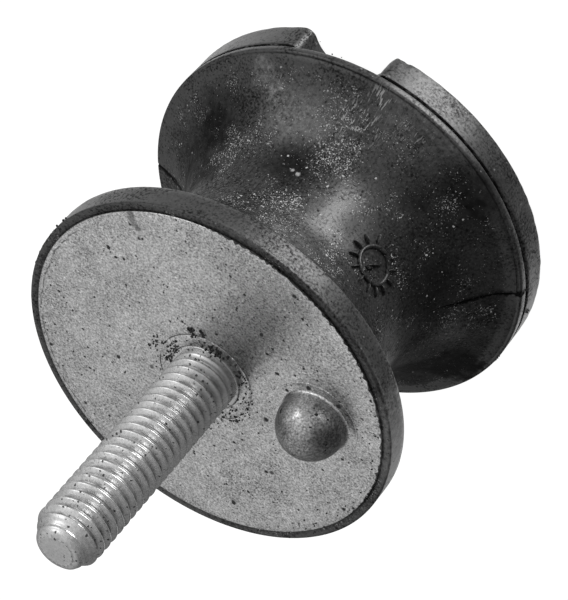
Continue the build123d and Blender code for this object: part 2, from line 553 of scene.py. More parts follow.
class RubberFinish(Finish):
    """Black moulded rubber: dark patches of oil, pale smears, clouds of fine dust and a few flecks. Some dark
    patches are painted shade, as are the groove and crack lines and the side towards the dome, and two pale
    patches are painted sheen.
    """

    name = "dusty_rubber"
    TONE = 0.0095
    DUST_TONE = 0.55
    SMEAR_TONE = 0.3
    HAZE = 0.09
    SHEEN = 0.95
    GROOVE_HEIGHT = 3.87
    # Direction of the waist's side that is in painted shade.
    DULL_SIDE = (0.98, -0.2, 0.0)
    RUBBED_SIDE = (0.643, 0.766, 0.0)
    # Dark, less glossy patches: partly oil on the rubber and partly painted shade, where the waist mirrors
    # dim, shadowed surroundings.
    OILY = (
        on_waist(135.5, 8.8, 7.0),
        on_waist(156.0, 9.5, 6.5, 0.85),
        on_waist(144.0, 14.0, 6.8, 0.85),
        on_waist(92.0, 13.6, 4.8),
        on_waist(34.0, 6.0, 6.2, 0.95),
        on_waist(9.0, 11.5, 6.5, 0.6),
        on_waist(-39.0, 6.4, 4.8, 1.0, 0.55),
        on_waist(-46.0, 8.8, 5.0, 1.0, 0.3),
        on_waist(-55.0, 8.0, 5.5, 0.6),
        on_waist(44.0, 9.2, 3.0, 0.8),
    )
    DUSTY = (
        on_waist(82.5, 11.0, 5.0),
        on_waist(84.0, 7.8, 4.4, 0.8),
        on_waist(126.0, 12.5, 5.0, 0.8),
        on_waist(86.0, 19.5, 5.2, 0.9),
        on_waist(76.0, 22.5, 4.2, 0.9),
        on_waist(32.0, 8.2, 3.0, 0.7),
        on_waist(-32.0, 9.5, 3.0, 0.6),
        on_waist(-10.0, 6.3, 2.4, 0.6),
    )
    # Pale smears of dirt; the two last, on the front band and on the flange band, are painted sheen.
    SMEARED = (
        on_waist(112.0, 5.9, 2.2, 1.0, 0.4),
        on_waist(107.5, 7.2, 2.0, 1.0, 0.4),
        on_waist(98.0, 8.8, 5.4, 0.7),
        on_waist(72.0, 24.0, 5.0, 0.6),
        on_waist(-17.0, 9.2, 3.4, 0.5),
        # Painted reflection of bright surroundings on the front band.
        Spot((23.0, 0.8, 31.8), 8.0, 0.75, 0.5),
        # Painted highlight of the lamp on the flange band.
        Spot((12.2, 21.1, 4.5), 8.0, 0.4, 0.4),
    )
    PEBBLES = (
        on_waist(89.5, 14.26, 0.3, 1.0, 0.45),
        on_waist(86.6, 14.5, 0.36, 1.0, 0.45),
        on_waist(94.9, 13.8, 0.2, 1.0, 0.45),
    )
    # Place where the painted shade of that side is lifted, which paints sheen on the bulge.
    BULGE = (on_waist(-15.5, 8.3, 5.6),)
    HAIRY = (on_waist(76.0, 7.6, 4.0), on_waist(73.0, 5.6, 2.5), on_waist(60.0, 6.0, 3.0, 0.5))

    def dress(self) -> None:
        """Feed the shader's inputs."""
        value, grain = self.mottle(patch_size=5.5, patch_strength=0.35, grain_size=0.3, grain_strength=0.8)
        bent = self.bent(reach=3.0, size=3.0)
        dapple = self.cloud(1.2, detail=5.0, roughness=0.75).remap(0.3, 0.62, 0.5, 1.1)
        # Mask of the dark patches of oil and painted shade.
        oil_and_shade = (self.strongest(self.OILY, bent) * dapple).held()
        # Painted shade darkens the groove line and the open crack.
        clean_and_unshaded, outside_cut_shade = 1.0 - oil_and_shade, 1.0 - self.cuts()
        inside = self.waist_only()
        # Less haze and sheen on the side towards the dome, as painted shade.
        lit_side = self.lit_side(bent, inside)
        flecks = self.flecks(bent, oil_and_shade + (1.0 - lit_side), inside)
        spots = self.specks((4, 8, 5), speck_size=0.3, cover=0.12, cluster_size=4.0, clustering=0.6)
        # Darker at the specks and in the painted shade of the groove and the crack.
        unspotted_and_unshaded = (1.0 - spots * (inside * 0.5 + 0.5) * 0.85) * outside_cut_shade
        tone = self.grey(value * self.TONE * unspotted_and_unshaded * (oil_and_shade * -0.8 + 1.0))
        # Pale smears and haze, with painted sheen and painted shade among them.
        smudges_and_painted_light = self.blend(self.veil(lit_side) * clean_and_unshaded * outside_cut_shade, tone, self.grey(self.SMEAR_TONE))
        gloss = (value * 0.9 - 0.15).held() * clean_and_unshaded * lit_side * unspotted_and_unshaded * self.rim_shine(inside)
        self.set(
            base_color=self.blend(flecks * 0.6, smudges_and_painted_light, self.grey(self.DUST_TONE)),
            roughness=flecks * 0.2 + grain * 0.06 + 0.6,
            specular_ior_level=0.1,
            coat_roughness=0.35,
            coat_weight=(gloss * (1.0 - flecks * 0.8) * self.SHEEN).held(),
        )
        grainy = self.cloud(0.26, detail=2.0, roughness=0.6) * 0.5
        moulded = self.cloud(0.9, detail=4.0, roughness=0.7) + grainy
        self.bump(flecks * 1.2 + moulded, 0.06)

    def flecks(self, bent: Value, oil_and_shade: Value, inside: Value) -> Value:
        """Mask of the pale dust: fine grains, coarser flecks and short hairs.

        Args:
            bent: Wandering coordinates.
            oil_and_shade: Mask of the patches of oil and painted shade, and of the side in painted shade,
                where less dust is laid.
            inside: Mask of the waist.

        Returns:
            The mask.
        """
        dusty = self.strongest(self.DUSTY, bent) * inside
        uneven = self.cloud(0.5, detail=1.0).remap(0.35, 0.65, 0.3, 1.1) * inside
        extra = dusty - oil_and_shade * 0.4
        fine = self.dust((9, 4, 2), grain_size=0.18, cloud_size=4.0, thin=0.7, thick=0.53, extra=extra)
        cover = dusty * 0.1 + 0.02
        coarse = self.specks((3, 1, 7), speck_size=0.22, cover=cover, cluster_size=5.0, clustering=0.8)
        pebbles = self.strongest(self.PEBBLES, self.bent(reach=0.25, size=0.4)) * 0.7
        return coarse * (inside * 0.7 + 0.3) | pebbles | self.hairs() | fine * uneven

    def veil(self, lit_side: Value) -> Value:
        """Mask of the pale smears, and of the thin haze on the lit side. The haze fades towards the dome as
        painted shade, and the two smears on the front band and the flange are painted sheen.

        Args:
            lit_side: Mask of the lit side.

        Returns:
            The mask.
        """
        smears_and_sheen = self.strongest(self.SMEARED, self.bent(reach=1.2, size=1.6))
        streaky = self.cloud(0.7, detail=5.0, roughness=0.75).remap(0.35, 0.75)
        haze = self.cloud(0.32, detail=2.0, roughness=0.7).remap(0.45, 0.85, 0.0, self.HAZE)
        return haze * lit_side + smears_and_sheen * streaky * 0.5

    def waist_only(self) -> Value:
        """Mask that is 1 on the waist and 0 on the rims and in the notch."""
        return self.from_axis().remap(22.4, 23.1, 1.0, 0.0) * self.z.remap(4.3, 4.7)

    def lit_side(self, bent: Value, inside: Value) -> Value:
        """Mask of the haze and sheen, which are less on the waist's side towards the dome: painted shade,
        lifted again on the bulge below the crack.

        Args:
            bent: Wandering coordinates.
            inside: Mask of the waist.

        Returns:
            The mask.
        """
        shaded_share = self.measure("DOT_PRODUCT", self.place, self.DULL_SIDE).remap(3.0, 15.0, 0.0, 0.62)
        shaded_share = shaded_share * self.z.remap(14.0, 21.0, 1.0, 0.3)
        return 1.0 - shaded_share * inside * (1.0 - self.strongest(self.BULGE, bent))

    def rim_shine(self, inside: Value) -> Value:
        """Gain of the sheen: the two rims shine more than the waist, but not where they face the lamp."""
        more = self.measure("DOT_PRODUCT", self.place, self.RUBBED_SIDE).remap(14.0, 20.0, 0.7, 0.0)
        return more * (1.0 - inside) + 1.0

    def cuts(self) -> Value:
        """Mask of the painted shade at the bottoms of the groove line and of the open parting line.

        Returns:
            The mask.
        """
        turn = self.y.math("ARCTAN2", self.x) * 3.37 + 0.705
        dip = (turn * turn * -1.0).math("EXPONENT")
        off = abs(self.z + dip * 0.5 - self.GROOVE_HEIGHT)
        broken = self.cloud(0.7, detail=3.0).remap(0.35, 0.5, 0.35, 1.0)
        groove = (off - dip * 0.15).remap(0.16, 0.26, 1.0, 0.0) * broken
        climb = self.z.remap(6.0, 9.0, 0.0, 0.9, soft=False)
        off = self.y * self.x.math("SIGN") + climb + self.cloud(0.5).remap(0.3, 0.7, -0.1, 0.1)
        crack = off.remap(-0.42, -0.25) * off.remap(0.25, 0.9, 1.0, 0.0)
        return groove | crack * self.z.remap(8.5, 11.0, 1.0, 0.0) * self.z.remap(4.0, 4.2)

    def hairs(self) -> Value:
        """Mask of short pale hairs that lie along the section, near the rear flange.

        Returns:
            The mask.
        """
        turn = self.y.math("ARCTAN2", self.x) * 25.0
        hairs = self.noise(self.point(turn, self.z * 0.45, self.x * 0.05), 0.22, 1.0)["Fac"]
        return hairs.remap(0.6, 0.66) * self.strongest(self.HAIRY, self.place) * 0.8


class DiscFinish(Finish):
    """Dull plated steel: a speckled grain, dark pits, fine scratches, a witness ring and a mottled dome,
    darker than the disc, with a painted highlight.

    The dome's table holds the place, the inner and outer radius and the gain of two darker patches and of a
    painted highlight.
    """

    name = "dull_plated_steel"
    TONE = 0.43
    PIT_TONE = 0.02
    ROUGHNESS = 0.32
    WITNESS_WIDTH = 0.09
    DOME_RADIUS = 4.1
    DOME_MARKS = (
        ((16.6, 1.3, 36.6), 0.7, 2.6, 0.45),
        ((15.4, 3.7, 35.3), 0.5, 1.6, 0.5),
        # Painted highlight where the dome mirrors a lamp.
        ((13.44, 3.26, 36.83), 0.1, 0.7, 1.9),
    )
    MARKS = (
        on_disc(13.2, 4.5, 0.42),
        on_disc(16.9, 3.5, 0.45),
        on_disc(10.7, 2.0, 0.4),
        on_disc(10.5, 2.9, 0.3),
        on_disc(7.7, -2.9, 0.42),
        on_disc(11.7, 17.1, 0.4),
        on_disc(8.1, 7.2, 0.3),
        on_disc(17.3, -4.4, 0.26),
        on_disc(-20.9, -4.5, 0.35),
        on_disc(17.4, -12.2, 0.35),
        on_disc(-7.1, -1.7, 0.4, 0.7),
        on_disc(8.2, -11.0, 0.36, 0.8),
        on_disc(-10.8, -18.3, 0.34, 0.8),
    )
    SHRED = (
        on_disc(-8.4, 20.2, 0.62, 0.62),
        on_disc(-8.3, 19.5, 0.68, 0.55),
        on_disc(-8.0, 18.9, 0.62, 0.55),
        on_disc(-7.6, 18.4, 0.5, 0.6),
        on_disc(-8.1, 17.6, 0.2, 0.5),
    )
    GRIMY = (
        on_disc(3.3, -14.7, 6.5, 0.5),
        on_disc(8.0, -11.4, 5.0, 0.4),
        on_disc(16.5, -11.0, 5.0, 0.45),
        on_disc(-13.3, 14.4, 6.0, 0.35),
        on_disc(-18.5, 2.0, 5.0, 0.35),
    )

    def dress(self) -> None:
        """Feed the shader's inputs."""
        value, grain = self.mottle(patch_size=4.0, patch_strength=0.1, grain_size=0.22, grain_strength=0.62)
        broken = self.cloud(1.4).remap(0.42, 0.56)
        ring = abs(self.from_axis() - WITNESS_RADIUS).remap(0.0, self.WITNESS_WIDTH, 1.0, 0.0) * broken
        dirt = self.dirt() | ring | self.flash()
        dome = self.on_dome()
        plating = self.grey(value * self.dome_shade(dome) * (self.scratches() * 0.45 + 1.0) * self.TONE)
        self.set(
            base_color=self.blend(dirt * 0.92, plating, self.grey(self.PIT_TONE)),
            metallic=1.0,
            roughness=dirt * 0.3 + grain * 0.06 + dome * 0.13 + self.ROUGHNESS,
        )
        self.bump(dirt * -1.5 + self.cloud(0.3, detail=3.0, roughness=0.6), 0.014)

    def dirt(self) -> Value:
        """Mask of the dirt: pits, a speckle that thickens towards the edge, marks and a stuck shred.

        Returns:
            The mask.
        """
        pits = self.specks((1, 2, 3), speck_size=0.3, cover=0.09, cluster_size=7.0, clustering=0.6)
        large = self.specks((8, 3, 1), speck_size=0.5, cover=0.028, cluster_size=7.0, clustering=0.8)
        grimy = self.strongest(self.GRIMY, self.bent(reach=4.0, size=4.0))
        extra = self.from_axis().remap(7.0, 20.0, -0.35, 0.1) + grimy
        speckle = self.dust((6, 1, 4), grain_size=0.25, cloud_size=5.0, thin=0.69, thick=0.54, extra=extra)
        marks = self.strongest(self.MARKS + self.SHRED, self.bent(reach=0.16, size=0.4))
        return pits | large | speckle * 0.5 | marks

    def flash(self) -> Value:
        """Mask of the thin line that rubber flash left near the disc's edge, away from the dome.

        Returns:
            The mask.
        """
        off_line = abs(self.from_axis() + self.cloud(2.5, detail=3.0) * 0.9 - (PLATE_RADIUS - 0.1))
        broken = self.cloud(1.2).remap(0.4, 0.55)
        away = self.x.remap(-13.0, -17.0) * self.z.remap(31.0, 32.0)
        return off_line.remap(0.03, 0.13, 0.7, 0.0) * broken * away

    def scratches(self) -> Value:
        """Mask of short bright scratches that wander over the plating."""
        line = abs(self.cloud(0.8, detail=2.0, roughness=0.6) - 0.5).remap(0.0, 0.025, 1.0, 0.0)
        return line * self.cloud(1.1, detail=1.0).remap(0.45, 0.6)

    def on_dome(self) -> Value:
        """Mask of the locating dome.

        Returns:
            The mask.
        """
        x = self.x - DOME_PITCH
        off = (x * x + self.y * self.y).math("SQRT")
        return off.remap(self.DOME_RADIUS, self.DOME_RADIUS * 0.95) * self.z.remap(31.0, 32.0)

    def dome_shade(self, dome: Value) -> Value:
        """How bright the locating dome is: mottled and darker than the disc, darker still in two patches on
        its side away from the stud, and with a painted highlight where it mirrors a lamp.

        Args:
            dome: Mask of the dome.

        Returns:
            The shade, 1 away from the dome.
        """
        bent = self.bent(reach=1.6, size=1.0)
        shade = self.cloud(0.4, detail=3.0, roughness=0.8).remap(0.32, 0.68, 0.4, 0.85, soft=False)
        for place, inner, outer, gain in self.DOME_MARKS:
            shade = shade * self.measure("DISTANCE", bent, place).remap(inner, outer, gain, 1.0)
        return self.lerp(dome, 1.0, shade)


class ZincFinish(Finish):
    """Bright zinc plate, dirtier towards the stud's foot, with painted shade in the thread's roots."""

    name = "bright_zinc"
    TONE = 0.5
    DIRT_TONE = 0.02
    ROUGHNESS = 0.25
    METAL = 0.75
    # Darker patches: the one at the foot is dirt together with a painted dark reflection; the two others
    # darken the shank and the end face.
    DULL = (
        Spot((2.9, 2.9, 36.0), 3.6, 0.34),
        Spot((3.9, 0.5, 40.0), 3.0, 0.2),
        Spot((0.0, 0.0, 63.3), 2.6, 0.2, 0.7),
    )

    def dress(self) -> None:
        """Feed the shader's inputs."""
        value, grain = self.mottle(patch_size=2.5, patch_strength=0.08, grain_size=0.3, grain_strength=0.18)
        low = self.z.remap(FRONT_FACE + 1, FRONT_FACE + 9, 0.4, 0.2)
        spots = self.specks((2, 5, 1), speck_size=0.26, cover=low, cluster_size=4.0, clustering=0.6)
        grime = self.dust((5, 2, 8), grain_size=0.26, cloud_size=5.0, thin=0.7, thick=0.56)
        # The mask holds real specks and grime, and the painted shade in the thread's roots.
        dirt = spots | grime * 0.45 | self.deep_dirt()
        self.set(
            base_color=self.blend(dirt * 0.85, self.grey(value * self.TONE), self.grey(self.DIRT_TONE)),
            metallic=dirt | self.METAL,
            roughness=dirt * 0.3 + grain * 0.05 + self.ROUGHNESS,
        )
        self.bump(spots + self.cloud(0.4, detail=3.0, roughness=0.6), 0.009)

    def deep_dirt(self) -> Value:
        """Mask of the painted shade at the bottom of the stud's thread, where the crests hide the roots, and
        of darker patches at its foot, on its shank and on its end.

        Returns:
            The mask.
        """
        uneven = self.cloud(1.5, detail=3.0).remap(0.35, 0.65, 0.35, 0.8)
        root = self.from_axis().remap(THREAD_ROOT + 0.17, THREAD_ROOT + 0.04) * uneven
        shank = self.z.remap(FRONT_FACE + 0.1, FRONT_FACE + 0.3) * self.z.remap(62.0, 61.4)
        return root * shank | self.strongest(self.DULL, self.bent(reach=0.8, size=1.5))


class GritFinish(Finish):
    """Crumbs of torn rubber and dirt."""

    name = "rubber_grit"
    TONE = 0.012

    def dress(self) -> None:
        """Feed the shader's inputs."""
        value, grain = self.mottle(patch_size=2.0, patch_strength=0.4, grain_size=0.15, grain_strength=0.4)
        self.set(base_color=self.grey(value * self.TONE), roughness=grain * 0.08 + 0.8)


class Materials:
    """All finishes of the mount."""

    def __init__(self) -> None:
        """Build each material once."""
        effects = Effects()
        kinds = (RubberFinish, DiscFinish, ZincFinish, GritFinish)
        self.rubber, self.disc, self.zinc, self.grit = (kind(effects).material for kind in kinds)


def smooth(mesh: Mesh, sharp_angle: float) -> Mesh:
    """Shade a mesh smooth, with edges above an angle kept sharp.

    Args:
        mesh: The mesh.
        sharp_angle: Least angle of an edge that stays sharp, in degrees.

    Returns:
        The same mesh.
    """
    mesh.shade_smooth()
    mesh.set_sharp_from_angle(angle=math.radians(sharp_angle))
    return mesh


def placed(name: str, data: Any) -> Object:
    """Put a new object with this data into the scene.

    Args:
        name: The object's name.
        data: Its mesh, light or camera.

    Returns:
        The object.
    """
    item = bpy.data.objects.new(name, data)
    bpy.context.scene.collection.objects.link(item)
    return item


def evaluated(name: str, holder: Object) -> Mesh:
    """Keep what an object's modifiers make of it as a plain mesh.

    Args:
        name: The mesh's name.
        holder: The object.

    Returns:
        The mesh.
    """
    graph = bpy.context.evaluated_depsgraph_get()
    mesh = bpy.data.meshes.new_from_object(holder.evaluated_get(graph))
    mesh.name = name
    return mesh


def place_piece(
    mesh: Mesh, material: Material, slot: Slot, stands_for: Optional[Node] = None
) -> Object:
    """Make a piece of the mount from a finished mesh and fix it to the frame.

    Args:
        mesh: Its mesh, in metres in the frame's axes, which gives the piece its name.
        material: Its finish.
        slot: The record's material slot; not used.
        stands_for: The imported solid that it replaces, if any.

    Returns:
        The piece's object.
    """
    mesh.materials.clear()
    mesh.materials.append(material)
    piece = placed(mesh.name, mesh)
    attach(piece, "root")
    if stands_for is not None:
        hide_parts(stands_for.value)
    log.info("%s: %d faces", piece.name, len(mesh.polygons))
    return piece


def joined(name: str, meshes: list[Mesh]) -> Mesh:
    """Put several meshes into a new one.

    Args:
        name: The new mesh's name.
        meshes: The meshes.

    Returns:
        The new mesh.
    """
    shape = bmesh.new()
    for mesh in meshes:
        shape.from_mesh(mesh)
    result = bpy.data.meshes.new(name)
    shape.to_mesh(result)
    shape.free()
    return result


def combined(name: str, body: Mesh, tool: Mesh, change: Change) -> Mesh:
    """Add one closed mesh to another or cut it away.

    Args:
        name: The new mesh's name.
        body: The mesh that is worked on.
        tool: The mesh that is added or taken away.
        change: Which of the two it is.

    Returns:
        The new mesh.
    """
    holders = [placed(f"{name}_{n}", mesh) for n, mesh in enumerate((body, tool))]
    work = holders[0].modifiers.new("work", "BOOLEAN")
    work.operation = change.value
    work.object = holders[1]
    work.solver = "EXACT"
    result = evaluated(name, holders[0])
    for holder in holders:
        bpy.data.objects.remove(holder)
    return result


@dataclass
class TurnedForm:
    """Grid of a turned shape: a row for each point of the section, a column for each azimuth."""

    azimuths: np.ndarray
    rows: list = field(default_factory=list)

    def row(self, radius: Reach, height: Reach, turn: Reach = 0.0) -> None:
        """Add a row, from the mount's foot outwards and upwards.

        Args:
            radius: Radius in each column.
            height: Height in each column.
            turn: How far each column is turned, in degrees.
        """
        angle = np.radians(self.azimuths + turn)
        radius, height = (np.broadcast_to(value, len(self.azimuths)) for value in (radius, height))
        self.rows.append(np.stack([radius * np.cos(angle), radius * np.sin(angle), height], axis=1))

    def path(self, *points: tuple[Reach, Reach]) -> None:
        """Add a row for each radius and height."""
        for radius, height in points:
            self.row(radius, height)

    def mesh(self, name: str, foot: Optional[float] = None, crown: Optional[float] = None) -> Mesh:
        """Close the rows into a mesh.

        Args:
            name: The mesh's name.
            foot: Height of the closing point before the first row, or None for a ring.
            crown: Height of the closing point after the last row, or None for a ring.

        Returns:
            The mesh, in metres.
        """
        count, width = len(self.rows), len(self.azimuths)
        points = np.concatenate(self.rows)
        column = np.arange(width)
        beside = (column + 1) % width
        faces = []
        for place in range(count if foot is None else count - 1):
            here, above = place * width, (place + 1) % count * width
            quads = np.stack([here + column, here + beside, above + beside, above + column], axis=1)
            faces.extend(quads.tolist())
        if foot is not None:
            low, top = len(points), (count - 1) * width
            points = np.vstack([points, [0, 0, foot], [0, 0, crown]])
            faces.extend([[low, b, a] for a, b in zip(column.tolist(), beside.tolist())])
            faces.extend([[top + a, top + b, low + 1] for a, b in zip(column.tolist(), beside.tolist())])
        mesh = bpy.data.meshes.new(name)
        mesh.from_pydata((points * MM).tolist(), [], faces)
        mesh.update()
        return mesh


def ripple(azimuths: np.ndarray, seed: int, slowest: int, fastest: int) -> np.ndarray:
    """Random wave round the mount that closes on itself.

    Args:
        azimuths: Where it is wanted.
        seed: Seed of the wave.
        slowest: Fewest waves in a turn.
        fastest: Most waves in a turn.

    Returns:
        The wave, from -1 to 1.
    """
    dice = np.random.default_rng(seed)
    counts = np.arange(slowest, fastest + 1)[:, None]
    sizes = dice.normal(size=counts.shape)
    starts = dice.uniform(0, FULL_TURN, size=counts.shape)
    wave = (sizes * np.sin(counts * np.radians(azimuths)[None, :] + starts)).sum(axis=0)
    return wave / np.abs(wave).max()


def around(azimuths: np.ndarray, centre: float) -> np.ndarray:
    """Signed angle of each azimuth from a centre, from -180 to 180."""
    return (azimuths - centre + 180) % 360 - 180


def bell(off: Reach, width: float) -> Reach:
    """Weight that is 1 in the middle and falls off smoothly over a width."""
    return np.exp(-((off / width) ** 2))


def stretch(azimuths: np.ndarray, start: float, end: float, fade: float) -> np.ndarray:
    """Weight that is 1 between two azimuths and fades to 0 outside them.

    Args:
        azimuths: Where it is wanted.
        start: Where the stretch starts.
        end: Where it ends.
        fade: Over how many degrees it fades.

    Returns:
        The weight.
    """
    half = (end - start) / 2
    off = np.abs(around(azimuths, start + half)) - half
    return np.clip(1 - off / fade, 0, 1)


class GeometryRecipe(NodeGroup):
    """A Geometry Nodes tree with named inputs, which is run once and kept as a plain mesh."""

    def __init__(self, name: str, inputs: dict[str, Any]) -> None:
        """Start the tree, with the default values of its inputs. A Material input is added."""
        super().__init__(name, "Geometry", {**inputs, "Material": "Material"}, {"Geometry": "Geometry"})

    def finish(self, geometry: Value) -> None:
        """End the tree: realize what is instanced and give it the material.

        Args:
            geometry: What the tree has made.
        """
        real = self.out("GeometryNodeRealizeInstances", {"Geometry": geometry})
        feeds = {"Geometry": real, "Material": self.given["Material"]}
        self.give(geometry=self.out("GeometryNodeSetMaterial", feeds))

    def moved(self, geometry: Value, place: Value) -> Value:
        """Move the points of a geometry to these places."""
        return self.out("GeometryNodeSetPosition", {"Geometry": geometry, "Position": place})

    def joined(self, *parts: Value) -> Value:
        """Put several geometries into one.

        Args:
            parts: The geometries.

        Returns:
            All of them.
        """
        made = self.node("GeometryNodeJoinGeometry")
        for part in parts:
            self.feed(made.inputs[0], part)
        return Value(self, made.outputs[0])

    def run(self, name: str, material: Material, **values: Any) -> Mesh:
        """Run the tree with these values.

        Args:
            name: Name of the mesh.
            material: Its finish.
            values: Values of the inputs, with underscores for spaces in their names.

        Returns:
            The plain mesh.
        """
        named = {titled(key): value for key, value in values.items()} | {"Material": material}
        holder = placed(name, bpy.data.meshes.new(name))
        modifier = holder.modifiers.new("recipe", "NODES")
        modifier.node_group = self.tree
        for item in self.tree.interface.items_tree:
            if item.in_out == "INPUT" and item.name in named:
                modifier[item.identifier] = named[item.name]
        mesh = evaluated(name, holder)
        holder.modifiers.remove(modifier)
        bpy.data.objects.remove(holder)
        return mesh


def in_metres(**lengths: float) -> dict[str, float]:
    """Turn named lengths into metres, which the recipes work in."""
    return {name: length * MM for name, length in lengths.items()}


class ThreadRecipe(GeometryRecipe):
    """Closed threaded rod, made from a grid whose rows climb with the thread. Its sizes are in metres."""

    ROWS_IN_A_TURN = 20
    COLUMNS = 112
    BOSS_START = 0.05
    BOSS_END = 0.1
    ROUNDING = 0.9 * MM
    ROLLED = 0.025 * MM

    def __init__(self) -> None:
        """Write the tree."""
        inputs = {"Turns": 24, "Low": 0.0, "High": 0.03, "Pitch": 0.00125}
        inputs |= {"Crest Radius": 0.0039, "Root Radius": 0.00325, "Plain Radius": 0.0039}
        inputs |= {"Run Out Start": 0.0, "Run Out End": 0.002, "Boss": 0.0, "Lean": 0.0}
        inputs |= {"Tip Start": 0.028, "Tip Radius": 0.003}
        super().__init__("thread_recipe", inputs)
        given = self.given
        across, along, _ = self.axes(self.out("GeometryNodeInputPosition"))
        share = across + 0.5
        turn = (along + 0.5) * given["Turns"] - 2.0
        height = given["Low"] + (turn + share) * given["Pitch"]
        held = height.math("MAXIMUM", given["Low"]).math("MINIMUM", given["High"])
        radius = self.closed_ends(self.thread_radius(turn, held), height)
        into_face = (height - given["High"]) / given["Pitch"]
        boss = into_face.remap(self.BOSS_START, self.BOSS_END, 0.0, given["Boss"], soft=False)
        lean = held.remap(given["Tip Start"], given["High"], 0.0, given["Lean"]) * -1.0
        upright = self.polar(radius, share * FULL_TURN, held + boss)
        rod = self.moved(self.climbing_grid(), self.shift(upright, self.point(y=lean)))
        self.finish(self.out("GeometryNodeMergeByDistance", {"Geometry": rod, "Distance": 0.002 * MM}))

    def turns(self, length: float, pitch: float) -> int:
        """Turns that a rod of this length needs, with two beyond each end."""
        return math.ceil(length / pitch) + 4

    def climbing_grid(self) -> Value:
        """Flat grid of one unit each way, with a fixed number of rows in each turn.

        Returns:
            The grid.
        """
        rows = self.given["Turns"] * float(self.ROWS_IN_A_TURN) + 1.0
        feeds = {"Size X": 1.0, "Size Y": 1.0, "Vertices X": self.COLUMNS + 1, "Vertices Y": rows}
        return self.out("GeometryNodeMeshGrid", feeds)

    def thread_radius(self, turn: Value, height: Value) -> Value:
        """Radius of the rod: crest and root, the run-out at the base and the tapered tip.

        Args:
            turn: Number of the thread's turn, whole at each crest.
            height: Height of the point.

        Returns:
            The radius.
        """
        given = self.given
        crest, root = given["Crest Radius"], given["Root Radius"]
        ridge = (turn.math("PINGPONG", 0.5) * 2.0).remap(0.05, 0.84, 1.08, 0.0, soft=False)
        thread = (ridge * (crest - root) + root).math("SMOOTH_MIN", crest, 0.04 * MM)
        run_out = height.remap(given["Run Out Start"], given["Run Out End"])
        shank = self.lerp(run_out, given["Plain Radius"], thread)
        top = given["High"] - self.ROUNDING
        along = height.remap(given["Tip Start"], top, soft=False)
        rolled = (turn * (3 * FULL_TURN)).math("COSINE") * self.ROLLED
        cone = self.lerp(along, crest, given["Tip Radius"] + self.ROUNDING) + rolled * along
        off_top = (height - top).math("MAXIMUM", 0.0) / self.ROUNDING
        arc = (1.0 - off_top * off_top).held().math("SQRT")
        return shank.math("MINIMUM", cone - (1.0 - arc) * self.ROUNDING)

    def closed_ends(self, radius: Value, height: Value) -> Value:
        """Draw the rows beyond each end in to the axis, so that the rod is closed.

        Args:
            radius: Radius of the rod.
            height: Height before it is held between the ends.

        Returns:
            The drawn-in radius.
        """
        given = self.given
        beyond = ((height - given["High"] | given["Low"] - height) | 0.0) / given["Pitch"]
        first = beyond.math("MINIMUM", self.BOSS_START)
        rest = beyond - self.BOSS_END | 0.0
        rate = (1 - self.BOSS_START) / (1 - self.BOSS_END)
        return radius * (1.0 - (rest * rate + first)).held()


class CrumbRecipe(GeometryRecipe):
    """Small crumbs scattered over a stretch of a ring round the mount's axis, in metres and radians."""

    SEED_STEP = 17.0

    def __init__(self) -> None:
        """Write the tree."""
        inputs = {"Count": 20, "Seed": 1, "Smallest": 0.00005, "Largest": 0.0002}
        inputs |= {"Inner": 0.004, "Outer": 0.006, "Low": 0.0, "High": 0.0, "Start": 0.0, "End": FULL_TURN}
        super().__init__("crumb_recipe", inputs)
        given = self.given
        radius = self.random(0, given["Inner"], given["Outer"])
        angle = self.random(1, given["Start"], given["End"])
        place = self.polar(radius, angle, self.random(2, given["Low"], given["High"]))
        points = self.out("GeometryNodePoints", {"Count": given["Count"]})
        sides = [self.random(number, given["Smallest"], given["Largest"]) for number in (3, 4, 5)]
        turns = [self.random(number, 0.0, FULL_TURN) for number in (6, 7, 8)]
        feeds = {
            "Points": self.moved(points, place),
            "Instance": self.out("GeometryNodeMeshIcoSphere", {"Radius": 1.0, "Subdivisions": 2}),
            "Scale": self.point(*sides),
            "Rotation": self.point(*turns),
        }
        self.finish(self.out("GeometryNodeInstanceOnPoints", feeds))

    def random(self, number: int, low: Feed, high: Feed) -> Value:
        """Random value between two others.

        Args:
            number: Number of this value in a crumb, which sets its seed.
            low: The lowest value.
            high: The highest value.

        Returns:
            The random value.
        """
        feeds = {2: low, 3: high, "Seed": self.given["Seed"] * self.SEED_STEP + float(number)}
        return self.out("FunctionNodeRandomValue", feeds, 1, data_type="FLOAT")


